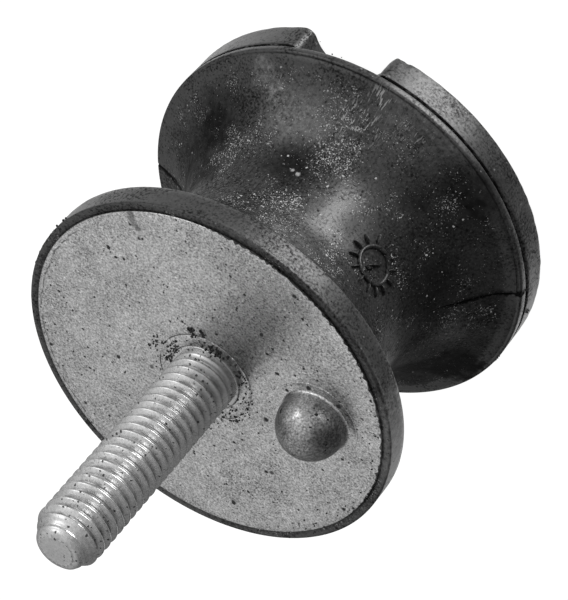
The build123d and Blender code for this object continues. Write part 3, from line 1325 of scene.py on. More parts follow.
class DialRecipe(GeometryRecipe):
    """Raised mould dial in metres: a ring with even ticks round it and a plain bar, laid on the waist."""

    def __init__(self) -> None:
        """Write the tree."""
        inputs = {"Ring Radius": 0.00215, "Ridge Width": 0.00056, "Bar Length": 0.0022}
        inputs |= {"Ticks": 13, "Tick Radius": 0.00292, "Tick Length": 0.0014}
        inputs |= {"Azimuth": 0.7, "Height": 0.018}
        inputs |= {"Arc Radius": 0.0287, "Arc Height": 0.0179, "Arc Size": 0.01375}
        super().__init__("dial_recipe", inputs)
        flat = self.joined(self.bar(), self.ticks(), self.ring())
        real = self.out("GeometryNodeRealizeInstances", {"Geometry": flat})
        self.finish(self.moved(real, self.on_waist()))

    def ring(self) -> Value:
        """Round ridge.

        Returns:
            Its geometry.
        """
        sizes = ((96, self.given["Ring Radius"]), (10, self.given["Ridge Width"] * 0.5))
        line, edge = (
            self.out("GeometryNodeCurvePrimitiveCircle", {"Resolution": count, "Radius": radius})
            for count, radius in sizes
        )
        return self.out("GeometryNodeCurveToMesh", {"Curve": line, "Profile Curve": edge})

    def lozenge(self, length: Value) -> Value:
        """Rounded ridge that lies along X.

        Args:
            length: The length.

        Returns:
            Its geometry.
        """
        width = self.given["Ridge Width"]
        ball = self.out("GeometryNodeMeshIcoSphere", {"Radius": 0.5, "Subdivisions": 3})
        feeds = {"Geometry": ball, "Scale": self.point(length, width * 0.5, width * 1.3)}
        return self.out("GeometryNodeTransform", feeds)

    def ticks(self) -> Value:
        """Even ticks outside the ring.

        Returns:
            Their geometry.
        """
        count = self.given["Ticks"]
        places = {"Vertices": count, "Radius": self.given["Tick Radius"]}
        feeds = {
            "Points": self.out("GeometryNodeMeshCircle", places),
            "Instance": self.lozenge(self.given["Tick Length"]),
            "Rotation": self.point(z=self.out("GeometryNodeInputIndex") * FULL_TURN / count),
        }
        return self.out("GeometryNodeInstanceOnPoints", feeds)

    def bar(self) -> Value:
        """Plain bar across the middle of the ring, with a shorter one beside it.

        Returns:
            Their geometry.
        """
        length = self.given["Bar Length"]
        short = self.turned(self.lozenge(length * 0.5), 0.5, (0.0003, 0.0009, 0.0))
        return self.joined(short, self.turned(self.lozenge(length), 0.9, (0.0, 0.0, 0.0)))

    def turned(self, ridge: Value, angle: float, place: tuple) -> Value:
        """Turn a ridge about Z, by an angle in radians, and move it to its place."""
        feeds = {"Geometry": ridge, "Translation": place, "Rotation": (0.0, 0.0, angle)}
        return self.out("GeometryNodeTransform", feeds)

    def on_waist(self) -> Value:
        """Where each point of the flat dial comes to lie on the waist.

        Returns:
            The places.
        """
        given = self.given
        x, y, z = self.axes(self.out("GeometryNodeInputPosition"))
        height = given["Height"] + y
        off, size = height - given["Arc Height"], given["Arc Size"]
        wall = given["Arc Radius"] - (size * size - off * off).math("SQRT")
        return self.polar(z * 1.4 + wall, given["Azimuth"] + x / wall, height)


@dataclass(frozen=True)
class RimNotch:
    """Half-round notch through the rear rim, as seen from the mount's axis."""

    rim_radius: float = REAR_RIM_RADIUS
    radius: float = 5.1
    corner_radius: float = 1.2
    skin: float = 1.05
    azimuth: float = 90.0

    def wall(self) -> tuple[np.ndarray, np.ndarray]:
        """Outline of half the notch, from its floor to the rim.

        Returns:
            Angle from the notch's middle in degrees, and radius from the mount's axis.
        """
        reach = self.radius + self.corner_radius
        inner = self.rim_radius - self.corner_radius
        centre_y = (inner**2 - reach**2 + self.rim_radius**2) / (2 * self.rim_radius)
        centre_x = math.sqrt(inner**2 - centre_y**2)
        floor = np.linspace(0, math.atan2(centre_x, self.rim_radius - centre_y), 15)
        leave = math.atan2(self.rim_radius - centre_y, -centre_x)
        corner = np.linspace(leave, math.atan2(centre_y, centre_x), 9)[1:]
        x = np.append(self.radius * np.sin(floor), centre_x + self.corner_radius * np.cos(corner))
        y = np.append(
            self.rim_radius - self.radius * np.cos(floor), centre_y + self.corner_radius * np.sin(corner)
        )
        return np.degrees(np.arctan2(x, y)), np.hypot(x, y)

    def rim(self, azimuths: np.ndarray) -> np.ndarray:
        """Radius of the rear rim at each azimuth."""
        angles, radii = self.wall()
        return np.interp(np.abs(around(azimuths, self.azimuth)), angles, radii)

    def pocket(self, azimuths: np.ndarray, plate_radius: float) -> np.ndarray:
        """Radius of the rear plate, which is cut back round the notch.

        Args:
            azimuths: Where it is wanted.
            plate_radius: The plate's radius away from the notch.

        Returns:
            The radii.
        """
        off = np.radians(np.abs(around(azimuths, self.azimuth)))
        reach = self.radius + self.skin
        inside = reach**2 - (self.rim_radius * np.sin(np.minimum(off, math.pi / 2))) ** 2
        near = self.rim_radius * np.cos(off) - np.sqrt(np.maximum(inside, 0))
        return np.where((inside > 0) & (off < math.pi / 2), np.minimum(near, plate_radius), plate_radius)

    def columns(self, even: np.ndarray, *others: np.ndarray) -> np.ndarray:
        """Azimuths of a grid's columns: even ones, those of the notch's outline and some others.

        Args:
            even: Evenly spaced azimuths.
            others: More azimuths that need a column.

        Returns:
            All azimuths in order, without repeats.
        """
        angles = self.wall()[0]
        every = np.concatenate([even, self.azimuth + angles, self.azimuth - angles, *others]) % 360
        return np.unique(every.round(3))


@dataclass
class FrontPlate:
    """Front disc with its pressed locating dome."""

    face: float = FRONT_FACE
    back: float = 31.3
    radius: float = PLATE_RADIUS
    edge_radius: float = 0.1
    hole_radius: float = 4.33
    witness_radius: float = WITNESS_RADIUS
    witness_half: float = 0.1
    witness_depth: float = 0.035
    dome_pitch: float = DOME_PITCH
    ball_radius: float = 3.97
    dome_height: float = 4.8
    blend_radius: float = 1.3
    corner_radius: float = 0.34

    def disc(self) -> Mesh:
        """Turned disc with its hole, its rounded front edge and a shallow witness ring.

        Returns:
            Its mesh.
        """
        form = TurnedForm(np.arange(0, 360, 1.25))
        face, hole, ring = self.face, self.hole_radius, self.witness_radius
        form.path((hole, self.back), (self.radius, self.back))
        for angle in np.linspace(0, math.pi / 2, 5):
            out = self.radius - self.edge_radius * (1 - math.cos(angle))
            form.row(out, face - self.edge_radius * (1 - math.sin(angle)))
        for radius in (21.0, 14.0, ring + 0.35, ring + self.witness_half):
            form.row(radius, face)
        form.path(
            (ring, face - self.witness_depth),
            (ring - self.witness_half, face),
            (hole + 0.35, face),
            (hole + 0.08, face - 0.01),
            (hole, face - 0.07),
        )
        return form.mesh("disc")

    def dome(self) -> Mesh:
        """Pressed dome: a ball form that blends into the disc, with a low ridge round its foot.

        Returns:
            Its mesh, in place on the disc.
        """
        form = TurnedForm(np.arange(0, 360, 3.0))
        face, ball, corner = self.face, self.ball_radius, self.corner_radius
        rise = self.dome_height - ball
        foot = math.sqrt((ball + self.blend_radius) ** 2 - (self.blend_radius - rise) ** 2)
        sunk = (face + self.back) / 2
        form.path(
            (foot, sunk),
            (foot, face - 0.012),
            (foot - 0.02, face + 0.05),
            (foot - 0.1, face + 0.065),
            (foot - 0.26, face + 0.01),
            (foot - 0.6, face + 0.01),
        )
        for angle in np.linspace(1.5 * math.pi, math.pi + 0.25, 7):
            out = ball + corner + corner * math.cos(angle)
            form.row(out, face + 0.03 + corner * (1 + math.sin(angle)))
        for angle in np.linspace(math.asin((corner - rise) / ball), math.pi / 2, 24)[1:-1]:
            form.row(ball * math.cos(angle), face + rise + ball * math.sin(angle))
        mesh = form.mesh("dome", foot=sunk, crown=face + self.dome_height)
        mesh.transform(Matrix.Translation((self.dome_pitch * MM, 0, 0)))
        return mesh

    def build(self, materials: Materials) -> Object:
        """Build the disc and its dome as one piece."""
        mesh = combined("front_disc", self.disc(), self.dome(), Change.ADD)
        return place_piece(smooth(mesh, 30), materials.disc, Slot.DISC, Node.FRONT_PLATE)


@dataclass
class FrontStud:
    """Headed stud with a right-hand M8 thread, its neck seated in the disc's hole."""

    plate: FrontPlate = field(default_factory=FrontPlate)
    length: float = 29.5
    pitch: float = PITCH
    crest_radius: float = 3.92
    root_radius: float = THREAD_ROOT
    plain_radius: float = 3.86
    crest_height: float = 61.7
    crest_azimuth: float = 60.0
    run_out_start: float = 0.3
    run_out_end: float = 1.3
    tip_length: float = 2.1
    tip_radius: float = 2.08
    boss: float = 0.08
    lean: float = 0.25
    neck_radius: float = 4.3
    neck_rise: float = 0.14
    head_radius: float = 6.5
    head_thickness: float = 3.0

    def head_back(self) -> float:
        """Height of the head's hidden back."""
        return self.plate.back - self.head_thickness

    def low_crest(self) -> float:
        """Height of a crest at azimuth 0 that lies inside the neck."""
        crest = self.crest_height - self.pitch * self.crest_azimuth / 360
        return crest - math.ceil((crest - self.plate.face + 0.2) / self.pitch) * self.pitch

    def shank(self, recipe: ThreadRecipe, zinc: Material) -> Mesh:
        """Make the threaded shank with the thread's recipe.

        Args:
            recipe: The thread's recipe.
            zinc: The stud's material.

        Returns:
            The shank's mesh.
        """
        low, face = self.low_crest(), self.plate.face
        tip = face + self.length
        sizes = in_metres(
            low=low,
            high=tip - self.boss,
            boss=self.boss,
            lean=self.lean,
            pitch=self.pitch,
            crest_radius=self.crest_radius,
            root_radius=self.root_radius,
            plain_radius=self.plain_radius,
            run_out_start=face + self.run_out_start,
            run_out_end=face + self.run_out_end,
            tip_start=tip - self.tip_length,
            tip_radius=self.tip_radius,
        )
        return recipe.run("stud_shank", zinc, turns=recipe.turns(tip - low, self.pitch), **sizes)

    def head(self) -> Mesh:
        """Make the head behind the disc and the neck in its hole.

        Returns:
            Their mesh.
        """
        form = TurnedForm(np.arange(0, 360, 3.0))
        back, top, neck = self.head_back(), self.plate.face + self.neck_rise, self.neck_radius
        form.path(
            (self.head_radius, back),
            (self.head_radius, self.plate.back),
            (neck, self.plate.back),
            (neck, top - 0.08),
            (neck - 0.03, top - 0.02),
            (neck - 0.1, top),
            (neck - 0.35, top),
        )
        return form.mesh("stud_head", foot=back, crown=top)

    def build(self, materials: Materials, recipe: ThreadRecipe) -> Object:
        """Build the stud as one piece, with the thread's recipe."""
        mesh = joined("threaded_stud", [self.shank(recipe, materials.zinc), self.head()])
        return place_piece(smooth(mesh, 58), materials.zinc, Slot.ZINC, Node.FRONT_STUD)


@dataclass
class RearPlate:
    """Disc in the rear rim, cut back round the notch and bored for the bush."""

    radius: float = 23.4
    thickness: float = 3.0
    hole_radius: float = 7.0
    edge: float = 0.12
    notch: RimNotch = field(default_factory=RimNotch)

    def build(self, materials: Materials) -> Object:
        """Build the plate.

        Args:
            materials: The mount's finishes.

        Returns:
            The piece.
        """
        form = TurnedForm(self.notch.columns(np.arange(0, 360, 1.25)))
        outline = self.notch.pocket(form.azimuths, self.radius)
        form.path(
            (self.hole_radius, self.thickness),
            (self.hole_radius, self.edge),
            (self.hole_radius + self.edge, 0.0),
            (outline - 0.15, 0.0),
            (outline, self.edge),
            (outline, self.thickness),
        )
        return place_piece(smooth(form.mesh("rear_disc"), 30), materials.disc, Slot.DISC, Node.REAR_PLATE)


@dataclass
class RearBush:
    """Collared bush with a blind tapped bore that opens at the rear face."""

    radius: float = 7.0
    length: float = 13.0
    collar_radius: float = 9.0
    collar_low: float = 3.0
    collar_high: float = 5.0
    bore_radius: float = 3.4
    bore_depth: float = 10.5
    mouth_chamfer: float = 0.7
    edge: float = 0.2
    point_depth: float = 2.04
    thread_radius: float = 4.0
    thread_depth: float = 9.0
    pitch: float = PITCH

    def blank(self) -> Mesh:
        """Turned bush with its drilled bore.

        Returns:
            Its mesh.
        """
        form = TurnedForm(np.arange(0, 360, 3.0))
        form.path(
            (self.bore_radius, self.bore_depth),
            (self.bore_radius, self.mouth_chamfer),
            (self.bore_radius + self.mouth_chamfer, 0.0),
            (self.radius - self.edge, 0.0),
            (self.radius, self.edge),
            (self.radius, self.collar_low),
            (self.collar_radius, self.collar_low),
            (self.collar_radius, self.collar_high),
            (self.radius, self.collar_high),
            (self.radius, self.length),
        )
        return form.mesh("bush_blank", foot=self.bore_depth + self.point_depth, crown=self.length)

    def tap(self, recipe: ThreadRecipe, zinc: Material) -> Mesh:
        """Make the rod that cuts the thread, from 1 mm below the bore's mouth.

        Args:
            recipe: The thread's recipe.
            zinc: The bush's material.

        Returns:
            The rod's mesh.
        """
        sizes = in_metres(
            low=-1.0,
            high=self.thread_depth,
            pitch=self.pitch,
            crest_radius=self.thread_radius,
            root_radius=self.bore_radius - 0.06,
            plain_radius=self.thread_radius,
            run_out_start=-3.0,
            run_out_end=-2.0,
            tip_start=self.thread_depth - 1.5,
            tip_radius=self.bore_radius - 0.4,
        )
        return recipe.run("tap", zinc, turns=recipe.turns(self.thread_depth + 1, self.pitch), **sizes)

    def build(self, materials: Materials, recipe: ThreadRecipe) -> Object:
        """Build the bush and cut its thread with a rod of the thread's own form."""
        mesh = combined("tapped_bush", self.blank(), self.tap(recipe, materials.zinc), Change.CUT)
        return place_piece(smooth(mesh, 35), materials.zinc, Slot.ZINC, Node.REAR_BUSH)


@dataclass(frozen=True)
class Swell:
    """Soft hump or hollow in the waist. A steep one has a crisp edge towards lower azimuths."""

    azimuth: float
    height: float
    width: float
    tall: float
    lift: float
    steepness: float = 0.0

    def rise(self, azimuths: np.ndarray, height: float) -> np.ndarray:
        """Rise of the points of a row at this height.

        Args:
            azimuths: Azimuths of the row's points.
            height: Height of the row.

        Returns:
            The rise of each point.
        """
        off = around(azimuths, self.azimuth) / self.width
        ramp = np.clip(off + 1.2, 0, 1) * np.clip(1.6 - off, 0, 1)
        shape = (1 - self.steepness) * bell(off, 1) + self.steepness * ramp
        return self.lift * shape * bell(height - self.height, self.tall)


@dataclass
class MouldedBody:
    """The rubber: rear rim, groove, flange band, waist and front rim, moulded round the steel."""

    lip_height: float = 33.5
    front_rim_radius: float = 23.2
    rear_rim_radius: float = REAR_RIM_RADIUS
    rear_rim_height: float = 3.93
    groove_depth: float = 0.35
    groove_half: float = 0.19
    groove_dip: float = 0.5
    chip_depth: float = 0.3
    hair_length: float = 0.3
    crack_width: float = 0.5
    front_crack: float = 0.45
    rear_crack: float = 0.35
    front_step: float = 0.17
    rear_step: float = 0.12
    column_step: float = 0.6
    row_step: float = 0.5
    dial_azimuth: float = 36.3
    dial_height: float = 17.4
    plate: FrontPlate = field(default_factory=FrontPlate)
    stud: FrontStud = field(default_factory=FrontStud)
    rear_plate: RearPlate = field(default_factory=RearPlate)
    bush: RearBush = field(default_factory=RearBush)
    notch: RimNotch = field(default_factory=RimNotch)
    waist: Waist = field(default_factory=Waist)
    swells: tuple = (
        Swell(-11.0, 8.4, 8.5, 2.2, 0.42),
        Swell(-43.0, 6.8, 8.0, 1.3, -0.22),
        Swell(38.0, 7.2, 7.0, 1.4, -0.16),
        Swell(96.0, 11.5, 10.0, 2.4, -0.25),
        Swell(112.0, 10.0, 9.0, 3.0, 0.16),
        Swell(63.0, 16.5, 9.0, 4.0, 0.2, 0.35),
    )

    def columns(self) -> np.ndarray:
        """Azimuths of the grid's columns, closer at the notch and at the mould's parting line."""
        parting = np.array([-0.9, -0.6, -0.35, -0.12, 0.0, 0.12, 0.35, 0.6, 0.9])
        return self.notch.columns(np.arange(0, 360, self.column_step), parting, parting + 180)

    def pockets(self, form: TurnedForm) -> None:
        """Add the pockets of the bush and of the rear plate.

        Args:
            form: The moulding's grid.
        """
        bush, outline = self.bush, self.notch.pocket(form.azimuths, self.rear_plate.radius)
        form.path(
            (bush.radius, bush.length),
            (bush.radius, bush.collar_high),
            (bush.collar_radius, bush.collar_high),
            (bush.collar_radius, bush.collar_low),
            (outline, self.rear_plate.thickness),
            (outline, 0.0),
        )

    def rear_rim(self, form: TurnedForm) -> None:
        """Add the bottom edge with its chipped corner, the rear rim and the groove line.

        Args:
            form: The moulding's grid.
        """
        azimuths, outer = form.azimuths, self.rear_rim_radius
        rim = self.notch.rim(azimuths)
        inside = np.clip(outer - rim, 0, 1)
        ragged = 0.5 + 0.5 * ripple(azimuths, seed=5, slowest=60, fastest=190)
        chipped = self.chip_depth * stretch(azimuths, start=73.5, end=77.5, fade=1.5) * ragged
        worn = rim + 0.04 * (ripple(azimuths, seed=8, slowest=10, fastest=120) - 1)
        for inset, height in ((0.14, 0.0), (0.08, 0.0), (0.02, 0.03)):
            form.row(worn - inset - chipped, height)
        form.row(worn - chipped * 5 / 6, 0.12)
        groove = self.rear_rim_height - self.groove_dip * bell(around(azimuths, -12), 17)
        wide = 1 + 1.2 * stretch(azimuths, start=-38, end=22, fade=20)
        wide = wide * (1 + 0.45 * ripple(azimuths, seed=17, slowest=20, fastest=240))
        drop, floor = self.groove_half * wide, outer - self.groove_depth * wide
        edge = groove - drop - 0.08
        for height in (0.5, 0.9, 1.4, 2.0, 2.6, 3.2):
            uneven = 0.03 * (ripple(azimuths, seed=int(height * 10), slowest=3, fastest=40) - 1)
            form.row(rim + uneven - chipped * max(0.0, 1 - height), height * edge / 3.66)
        form.path(
            (rim - 0.02, edge),
            (np.where(inside > 0, rim, rim - 0.07), groove - drop * (1 - inside)),
            (np.minimum(rim, floor), groove - 0.05 * (1 - inside)),
            (np.maximum(floor, outer - 0.35), groove + 0.05),
        )
        self.flange_band(form, groove)

    def flange_band(self, form: TurnedForm, groove: np.ndarray) -> None:
        """Add the flange band above the groove's height, with a fine cut at the mould's parting line.

        Args:
            form: The moulding's grid.
            groove: Height of the groove's bottom in each column.
        """
        azimuths = form.azimuths
        off = np.minimum(np.abs(around(azimuths, 0)), np.abs(around(azimuths, 180)))
        band = self.rear_rim_radius - 0.25 * bell(off, 0.3)
        wear = 0.02 * ripple(azimuths, seed=21, slowest=20, fastest=160)
        form.path(
            (band - 0.12 + wear, groove + 0.12),
            (band - 0.04, groove + 0.2),
            (band - 0.005, groove + 0.34),
            (band, 4.6),
            (band - 0.01, 4.74),
            (band - 0.04, 4.84),
            (band - 0.1, 4.93),
            (band - 0.2, 4.99),
            (band - 0.3, 5.01),
            (band - 0.42, 4.98),
            (band - 0.5, 5.0),
        )

    def hollow_side(self, form: TurnedForm) -> None:
        """Add the waist, with the mould's two cracks and the slight unevenness of the moulding.

        Args:
            form: The moulding's grid.
        """
        azimuths = form.azimuths
        radius, height, size = self.waist.arc()
        front, back = around(azimuths, 0), around(azimuths, 180)
        proud = np.where(front > 0, np.exp(-np.abs(front) / 14), -1.1 * np.exp(-np.abs(front) / 7))
        proud_back = np.where(back < 0, 1.0, -0.3) * np.exp(-np.abs(back) / 10)
        for r, z in self.waist.section(5.14, 30.35, self.row_step):
            low = 1 - np.clip((z - 7.5) / 5.5, 0, 1)
            lowest = 1 - np.clip((z - 5.2) / 1.6, 0, 1)
            lift = self.unevenness(azimuths, r, z) + sum(swell.rise(azimuths, z) for swell in self.swells)
            lift = lift + self.front_step * low * proud + self.rear_step * lowest * proud_back
            lift = lift - self.front_crack * min(1.0, 1.6 * low) * bell(front, self.crack_width)
            lift = lift - self.rear_crack * min(1.0, 1.6 * lowest) * bell(back, self.crack_width)
            bend = -2.3 * np.clip((z - 6.0) / 3.0, 0, 1) * bell(front, 12)
            form.row(r + (radius - r) / size * lift, z + (height - z) / size * lift, bend)

    def unevenness(self, azimuths: np.ndarray, radius: float, height: float) -> np.ndarray:
        """Broad, shallow swells of the moulding, calm at the waist's two edges.

        Args:
            azimuths: Where they are wanted.
            radius: Radius of the row.
            height: Height of the row.

        Returns:
            The rise of each point.
        """
        calm = np.clip(min(height - self.waist.low_height, self.waist.high_height - height) / 3, 0, 1)
        places = [(radius * math.cos(a), radius * math.sin(a), height * 1.2) for a in np.radians(azimuths)]
        return 0.16 * calm * np.array([noise.noise(Vector(place) / 6.5) for place in places])

    def front_rim(self, form: TurnedForm) -> None:
        """Add the front band, the ragged lip and the pockets of the plate and the stud's head.

        Args:
            form: The moulding's grid.
        """
        azimuths, rim, plate = form.azimuths, self.front_rim_radius, self.plate
        torn = stretch(azimuths, start=20, end=80, fade=8)
        jagged = ripple(azimuths, seed=31, slowest=40, fastest=260)
        wavy = ripple(azimuths, seed=32, slowest=5, fastest=60)
        hairs = np.clip(ripple(azimuths, seed=33, slowest=70, fastest=290), 0, 1) ** 2
        hair = self.hair_length * stretch(azimuths, start=143, end=176, fade=2) * hairs
        sunk = torn * (0.5 + 0.5 * jagged)
        form.path(
            (rim - 0.14, 30.5),
            (rim - 0.05, 30.58),
            (rim + 0.02 * wavy, 30.72),
            (rim + 0.02 * wavy, 31.4),
            (rim + 0.01 * wavy, 32.2),
            (rim + 0.01 * wavy, 32.9),
            (rim, 33.3 - 0.12 * sunk),
            (rim + 0.06 * torn + hair, 33.44 - 0.1 * sunk),
            (rim - 0.02 + 0.05 * torn * jagged + hair * 0.7, 33.64),
            (rim - 0.1, 33.71),
            (rim - 0.35, 33.72 + 0.02 * jagged),
            (plate.radius + 0.27, 33.68 + 0.02 * jagged),
            (plate.radius + 0.15, 33.6 + 0.03 * jagged),
            (plate.radius + 0.06, 33.58),
            *self.creep(azimuths),
            (plate.radius - 0.05, self.lip_height - 0.1),
            (plate.radius, self.lip_height - 0.2),
            (plate.radius, plate.back),
            (self.stud.head_radius, plate.back),
            (self.stud.head_radius, self.stud.head_back()),
        )

    def creep(self, azimuths: np.ndarray) -> list[tuple[np.ndarray, np.ndarray]]:
        """Thin torn edge of rubber that creeps over the disc's rounded edge.

        Args:
            azimuths: Azimuths of the columns.

        Returns:
            Radius and height of each row, from the lip to the tear's inner edge.
        """
        most = 0.04 + 0.42 * stretch(azimuths, start=-30, end=78, fade=14)
        teeth = 0.5 + 0.5 * ripple(azimuths, seed=34, slowest=30, fastest=210)
        reach = most * (0.08 + 1.1 * teeth**2)
        rounding = self.plate.edge_radius
        rows = []
        for share, proud in ((0.0, 0.03), (0.35, 0.04), (0.7, 0.04), (1.0, 0.03), (1.0, -0.02)):
            angle = np.minimum(share * reach / rounding, math.pi / 2)
            beyond = np.maximum(share * reach - rounding * math.pi / 2, 0)
            out = self.plate.radius - rounding - beyond + (rounding + proud) * np.cos(angle)
            rows.append((out, self.plate.face - rounding + (rounding + proud) * np.sin(angle)))
        return rows

    def dial(self, rubber: Material) -> Mesh:
        """Make the mould dial on the waist.

        Args:
            rubber: The rubber's material.

        Returns:
            The dial's mesh.
        """
        radius, height, size = self.waist.arc()
        sizes = in_metres(height=self.dial_height, arc_radius=radius, arc_height=height, arc_size=size)
        return DialRecipe().run("mould_dial", rubber, azimuth=math.radians(self.dial_azimuth), **sizes)

    def build(self, materials: Materials) -> Object:
        """Build the moulding as one piece.

        Args:
            materials: The mount's finishes.

        Returns:
            The piece.
        """
        form = TurnedForm(self.columns())
        for add in (self.pockets, self.rear_rim, self.hollow_side, self.front_rim):
            add(form)
        skin = form.mesh("rubber_skin", foot=self.bush.length, crown=self.stud.head_back())
        mesh = joined("moulded_rubber", [skin, self.dial(materials.rubber)])
        return place_piece(smooth(mesh, 50), materials.rubber, Slot.RUBBER, Node.RUBBER_BODY)


@dataclass(frozen=True)
class CrumbPatch:
    """A stretch of a ring that is strewn with crumbs, between two azimuths."""

    count: int
    inner: float
    outer: float
    low: float
    high: float
    start: float
    end: float
    smallest: float
    largest: float

    def inputs(self) -> dict[str, float]:
        """Values for the crumbs' recipe, which works in metres and radians."""
        units = {"count": 1, "start": DEGREE, "end": DEGREE}
        return {name: value * units.get(name, MM) for name, value in asdict(self).items()}


@dataclass
class Grit:
    """Crumbs of torn rubber and dirt, round the stud's foot and along the moulding's edges."""

    disc_seed: int = 11
    edge_seed: int = 41
    disc_patches: tuple = (
        CrumbPatch(60, 4.35, 7.4, 33.8, 33.83, 0, 360, 0.04, 0.14),
        CrumbPatch(36, 4.2, 5.6, 33.8, 33.95, 54, 96, 0.05, 0.19),
        CrumbPatch(20, 5.4, 6.9, 33.8, 33.88, 88, 108, 0.06, 0.2),
        CrumbPatch(40, 4.0, 5.4, 33.8, 34.1, 130, 178, 0.04, 0.16),
        CrumbPatch(20, 5.8, 7.5, 33.8, 33.85, 148, 172, 0.04, 0.15),
        CrumbPatch(34, 4.7, 6.6, 33.8, 33.84, -62, -5, 0.04, 0.15),
        CrumbPatch(18, 4.5, 5.8, 33.8, 33.87, 10, 46, 0.05, 0.18),
        CrumbPatch(90, 7.0, 21.9, 33.79, 33.8, 0, 360, 0.04, 0.13),
        CrumbPatch(34, 20.6, 21.9, 33.79, 33.8, -70, 25, 0.04, 0.14),
    )
    edge_patches: tuple = (
        CrumbPatch(22, 23.15, 23.3, 32.6, 33.4, 138, 180, 0.05, 0.17),
        CrumbPatch(40, 22.5, 23.05, 33.7, 33.73, 0, 360, 0.04, 0.1),
        CrumbPatch(30, 24.25, 24.32, 0.3, 3.6, -60, 60, 0.04, 0.11),
        CrumbPatch(24, 24.25, 24.32, 0.3, 3.6, 95, 200, 0.04, 0.1),
        CrumbPatch(24, 23.1, 23.2, 30.7, 33.2, -40, 60, 0.04, 0.1),
        CrumbPatch(3, 24.42, 24.5, 1.0, 1.8, 8.5, 10, 0.08, 0.2),
        CrumbPatch(3, 24.42, 24.5, 1.7, 2.4, -13, -11, 0.08, 0.22),
        CrumbPatch(4, 24.35, 24.45, 4.3, 4.8, -31, -27, 0.08, 0.2),
        CrumbPatch(26, 24.0, 24.4, 3.75, 4.0, -45, 150, 0.04, 0.12),
    )

    def build(self, materials: Materials) -> None:
        """Strew the disc and the moulding's edges, and keep the crumbs of each as one piece.

        Args:
            materials: The mount's finishes.
        """
        recipe, grit = CrumbRecipe(), materials.grit
        disc, edge = (self.disc_patches, self.disc_seed), (self.edge_patches, self.edge_seed)
        for name, (patches, seed) in {"disc_grit": disc, "edge_grit": edge}.items():
            meshes = [
                recipe.run(f"{name}_{number}", grit, seed=seed + number, **patch.inputs())
                for number, patch in enumerate(patches)
            ]
            place_piece(smooth(joined(name, meshes), 80), grit, Slot.RUBBER)


def from_angles(azimuth: float, elevation: float) -> Vector:
    """Unit vector from an azimuth and an elevation, both in degrees."""
    a, e = math.radians(azimuth), math.radians(elevation)
    return Vector((math.cos(a) * math.cos(e), math.sin(a) * math.cos(e), math.sin(e)))


@dataclass(frozen=True)
class SoftLamp:
    """Soft lamp, an upright rectangle that faces the mount. Its lengths are in metres."""

    name: str
    azimuth: float
    elevation: float
    distance: float
    width: float
    height: float
    radiance: float

    def build(self, target: Vector) -> None:
        """Hang the lamp.

        Args:
            target: The point that it faces, in metres.
        """
        data = bpy.data.lights.new(self.name, "AREA")
        data.shape = "RECTANGLE"
        data.size = self.width
        data.size_y = self.height
        data.energy = self.radiance * math.pi * self.width * self.height
        lamp = placed(self.name, data)
        direction = from_angles(self.azimuth, self.elevation)
        lamp.location = target + direction * self.distance
        lamp.rotation_euler = direction.to_track_quat("Z", "Y").to_euler()


@dataclass(frozen=True)
class Panel:
    """Broad soft glow in the surroundings."""

    azimuth: float
    elevation: float
    narrowness: float
    level: float

    def glow(self, sheet: NodeSheet, direction: Value) -> Value:
        """Brightness of the panel in a direction, in the world's tree."""
        off = sheet.measure("DOT_PRODUCT", direction, from_angles(self.azimuth, self.elevation)) - 1.0
        return (off * self.narrowness).math("EXPONENT") * self.level


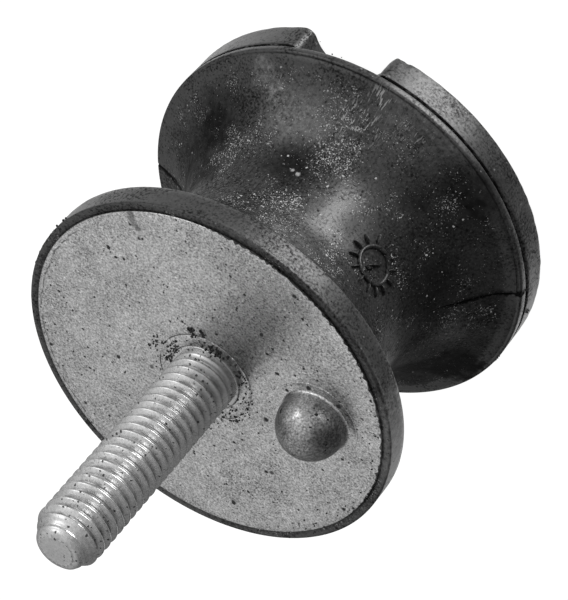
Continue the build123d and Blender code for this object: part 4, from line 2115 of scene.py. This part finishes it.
@dataclass
class Studio:
    """Camera, lamp, surroundings and floor."""

    camera_azimuth: float = 60.127
    camera_elevation: float = 39.307
    camera_roll: float = -139.417
    camera_distance: float = 307.584
    aim: tuple = (0.917, -0.527, 18.158)
    lens: float = 162.0
    lamp: SoftLamp = SoftLamp("key_lamp", 64.0, -28.0, 0.5, 0.26, 0.52, 9.0)
    panels: tuple = (
        Panel(117.0, 45.0, 2.5, 1.15),
        Panel(127.0, 27.0, 30.0, 2.6),
        Panel(172.0, -80.0, 4.0, 1.1),
        Panel(-128.0, 50.0, 5.0, 0.62),
    )
    room_level: float = 0.11
    floor_half: float = 0.75
    floor_drop: float = 0.05
    floor_grey: float = 0.9
    floor_glow: float = 1.2
    glow_share: float = 0.8

    def camera(self) -> None:
        """Set up the camera."""
        data = bpy.data.cameras.new("camera")
        data.lens = self.lens
        back = from_angles(self.camera_azimuth, self.camera_elevation)
        level = Vector((0, 0, 1)).cross(back).normalized()
        roll = math.radians(self.camera_roll)
        right = level * math.cos(roll) + back.cross(level) * math.sin(roll)
        place = (Vector(self.aim) + back * self.camera_distance) * MM
        camera = placed("camera", data)
        turned = Matrix((right, back.cross(right), back)).transposed().to_4x4()
        camera.matrix_world = Matrix.Translation(place) @ turned
        bpy.context.scene.camera = camera

    def surroundings(self) -> None:
        """Set up the world: a dim room with soft panels, and a white backdrop behind the mount."""
        world = bpy.data.worlds.new("surroundings")
        bpy.context.scene.world = world
        sheet = NodeSheet(fresh_tree(world))
        direction = sheet.out("ShaderNodeTexCoord", pick="Generated")
        level = self.room_level
        for panel in self.panels:
            level = panel.glow(sheet, direction) + level
        rays = sheet.outs("ShaderNodeLightPath")
        behind = from_angles(self.camera_azimuth + 180, -self.camera_elevation)
        framed = sheet.measure("DOT_PRODUCT", direction, behind).remap(0.4, 0.8)
        framed = framed * sheet.axes(direction)[2].remap(-0.54, -0.63)
        mirrored = (rays["Is Glossy Ray"] | rays["Is Transmission Ray"]) * framed
        strength = sheet.lerp(rays["Is Camera Ray"] | mirrored, level, 1.0)
        background = sheet.out("ShaderNodeBackground", {"Color": (1, 1, 1, 1), "Strength": strength})
        sheet.node("ShaderNodeOutputWorld", {"Surface": background})

    def floor(self) -> None:
        """Lay the pale floor under the rear face. It is seen from above only."""
        half, drop = self.floor_half, self.floor_drop * MM
        corners = [(-half, -half, -drop), (half, -half, -drop), (half, half, -drop), (-half, half, -drop)]
        mesh = bpy.data.meshes.new("floor")
        mesh.from_pydata(corners, [], [(0, 1, 2, 3)])
        material = bpy.data.materials.new("pale_floor")
        sheet = NodeSheet(fresh_tree(material))
        grey = self.floor_grey
        shaded = sheet.out("ShaderNodeBsdfDiffuse", {"Color": (grey, grey, grey, 1)})
        glow = sheet.out("ShaderNodeEmission", {"Color": (1, 1, 1, 1), "Strength": self.floor_glow})
        pale = sheet.out("ShaderNodeMixShader", {0: self.glow_share, 1: shaded, 2: glow})
        below = sheet.out("ShaderNodeNewGeometry", pick="Backfacing")
        clear = sheet.out("ShaderNodeBsdfTransparent")
        surface = sheet.out("ShaderNodeMixShader", {0: below, 1: pale, 2: clear})
        sheet.node("ShaderNodeOutputMaterial", {"Surface": surface})
        mesh.materials.append(material)
        floor = placed("floor", mesh)
        for ray in ("shadow", "diffuse", "glossy", "transmission"):
            setattr(floor, f"visible_{ray}", False)

    def build(self) -> None:
        """Set up the whole studio."""
        bpy.context.scene.view_settings.view_transform = "Standard"
        self.camera()
        self.surroundings()
        self.floor()
        self.lamp.build(Vector(self.aim) * MM)


def main() -> None:
    """Build the mount and the studio, and report each piece."""
    logging.basicConfig(level=logging.INFO, format="%(message)s")
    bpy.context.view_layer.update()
    materials = Materials()
    thread = ThreadRecipe()
    MouldedBody().build(materials)
    FrontPlate().build(materials)
    FrontStud().build(materials, thread)
    RearPlate().build(materials)
    RearBush().build(materials, thread)
    Grit().build(materials)
    Studio().build()


if __name__ == "__main__":
    main()
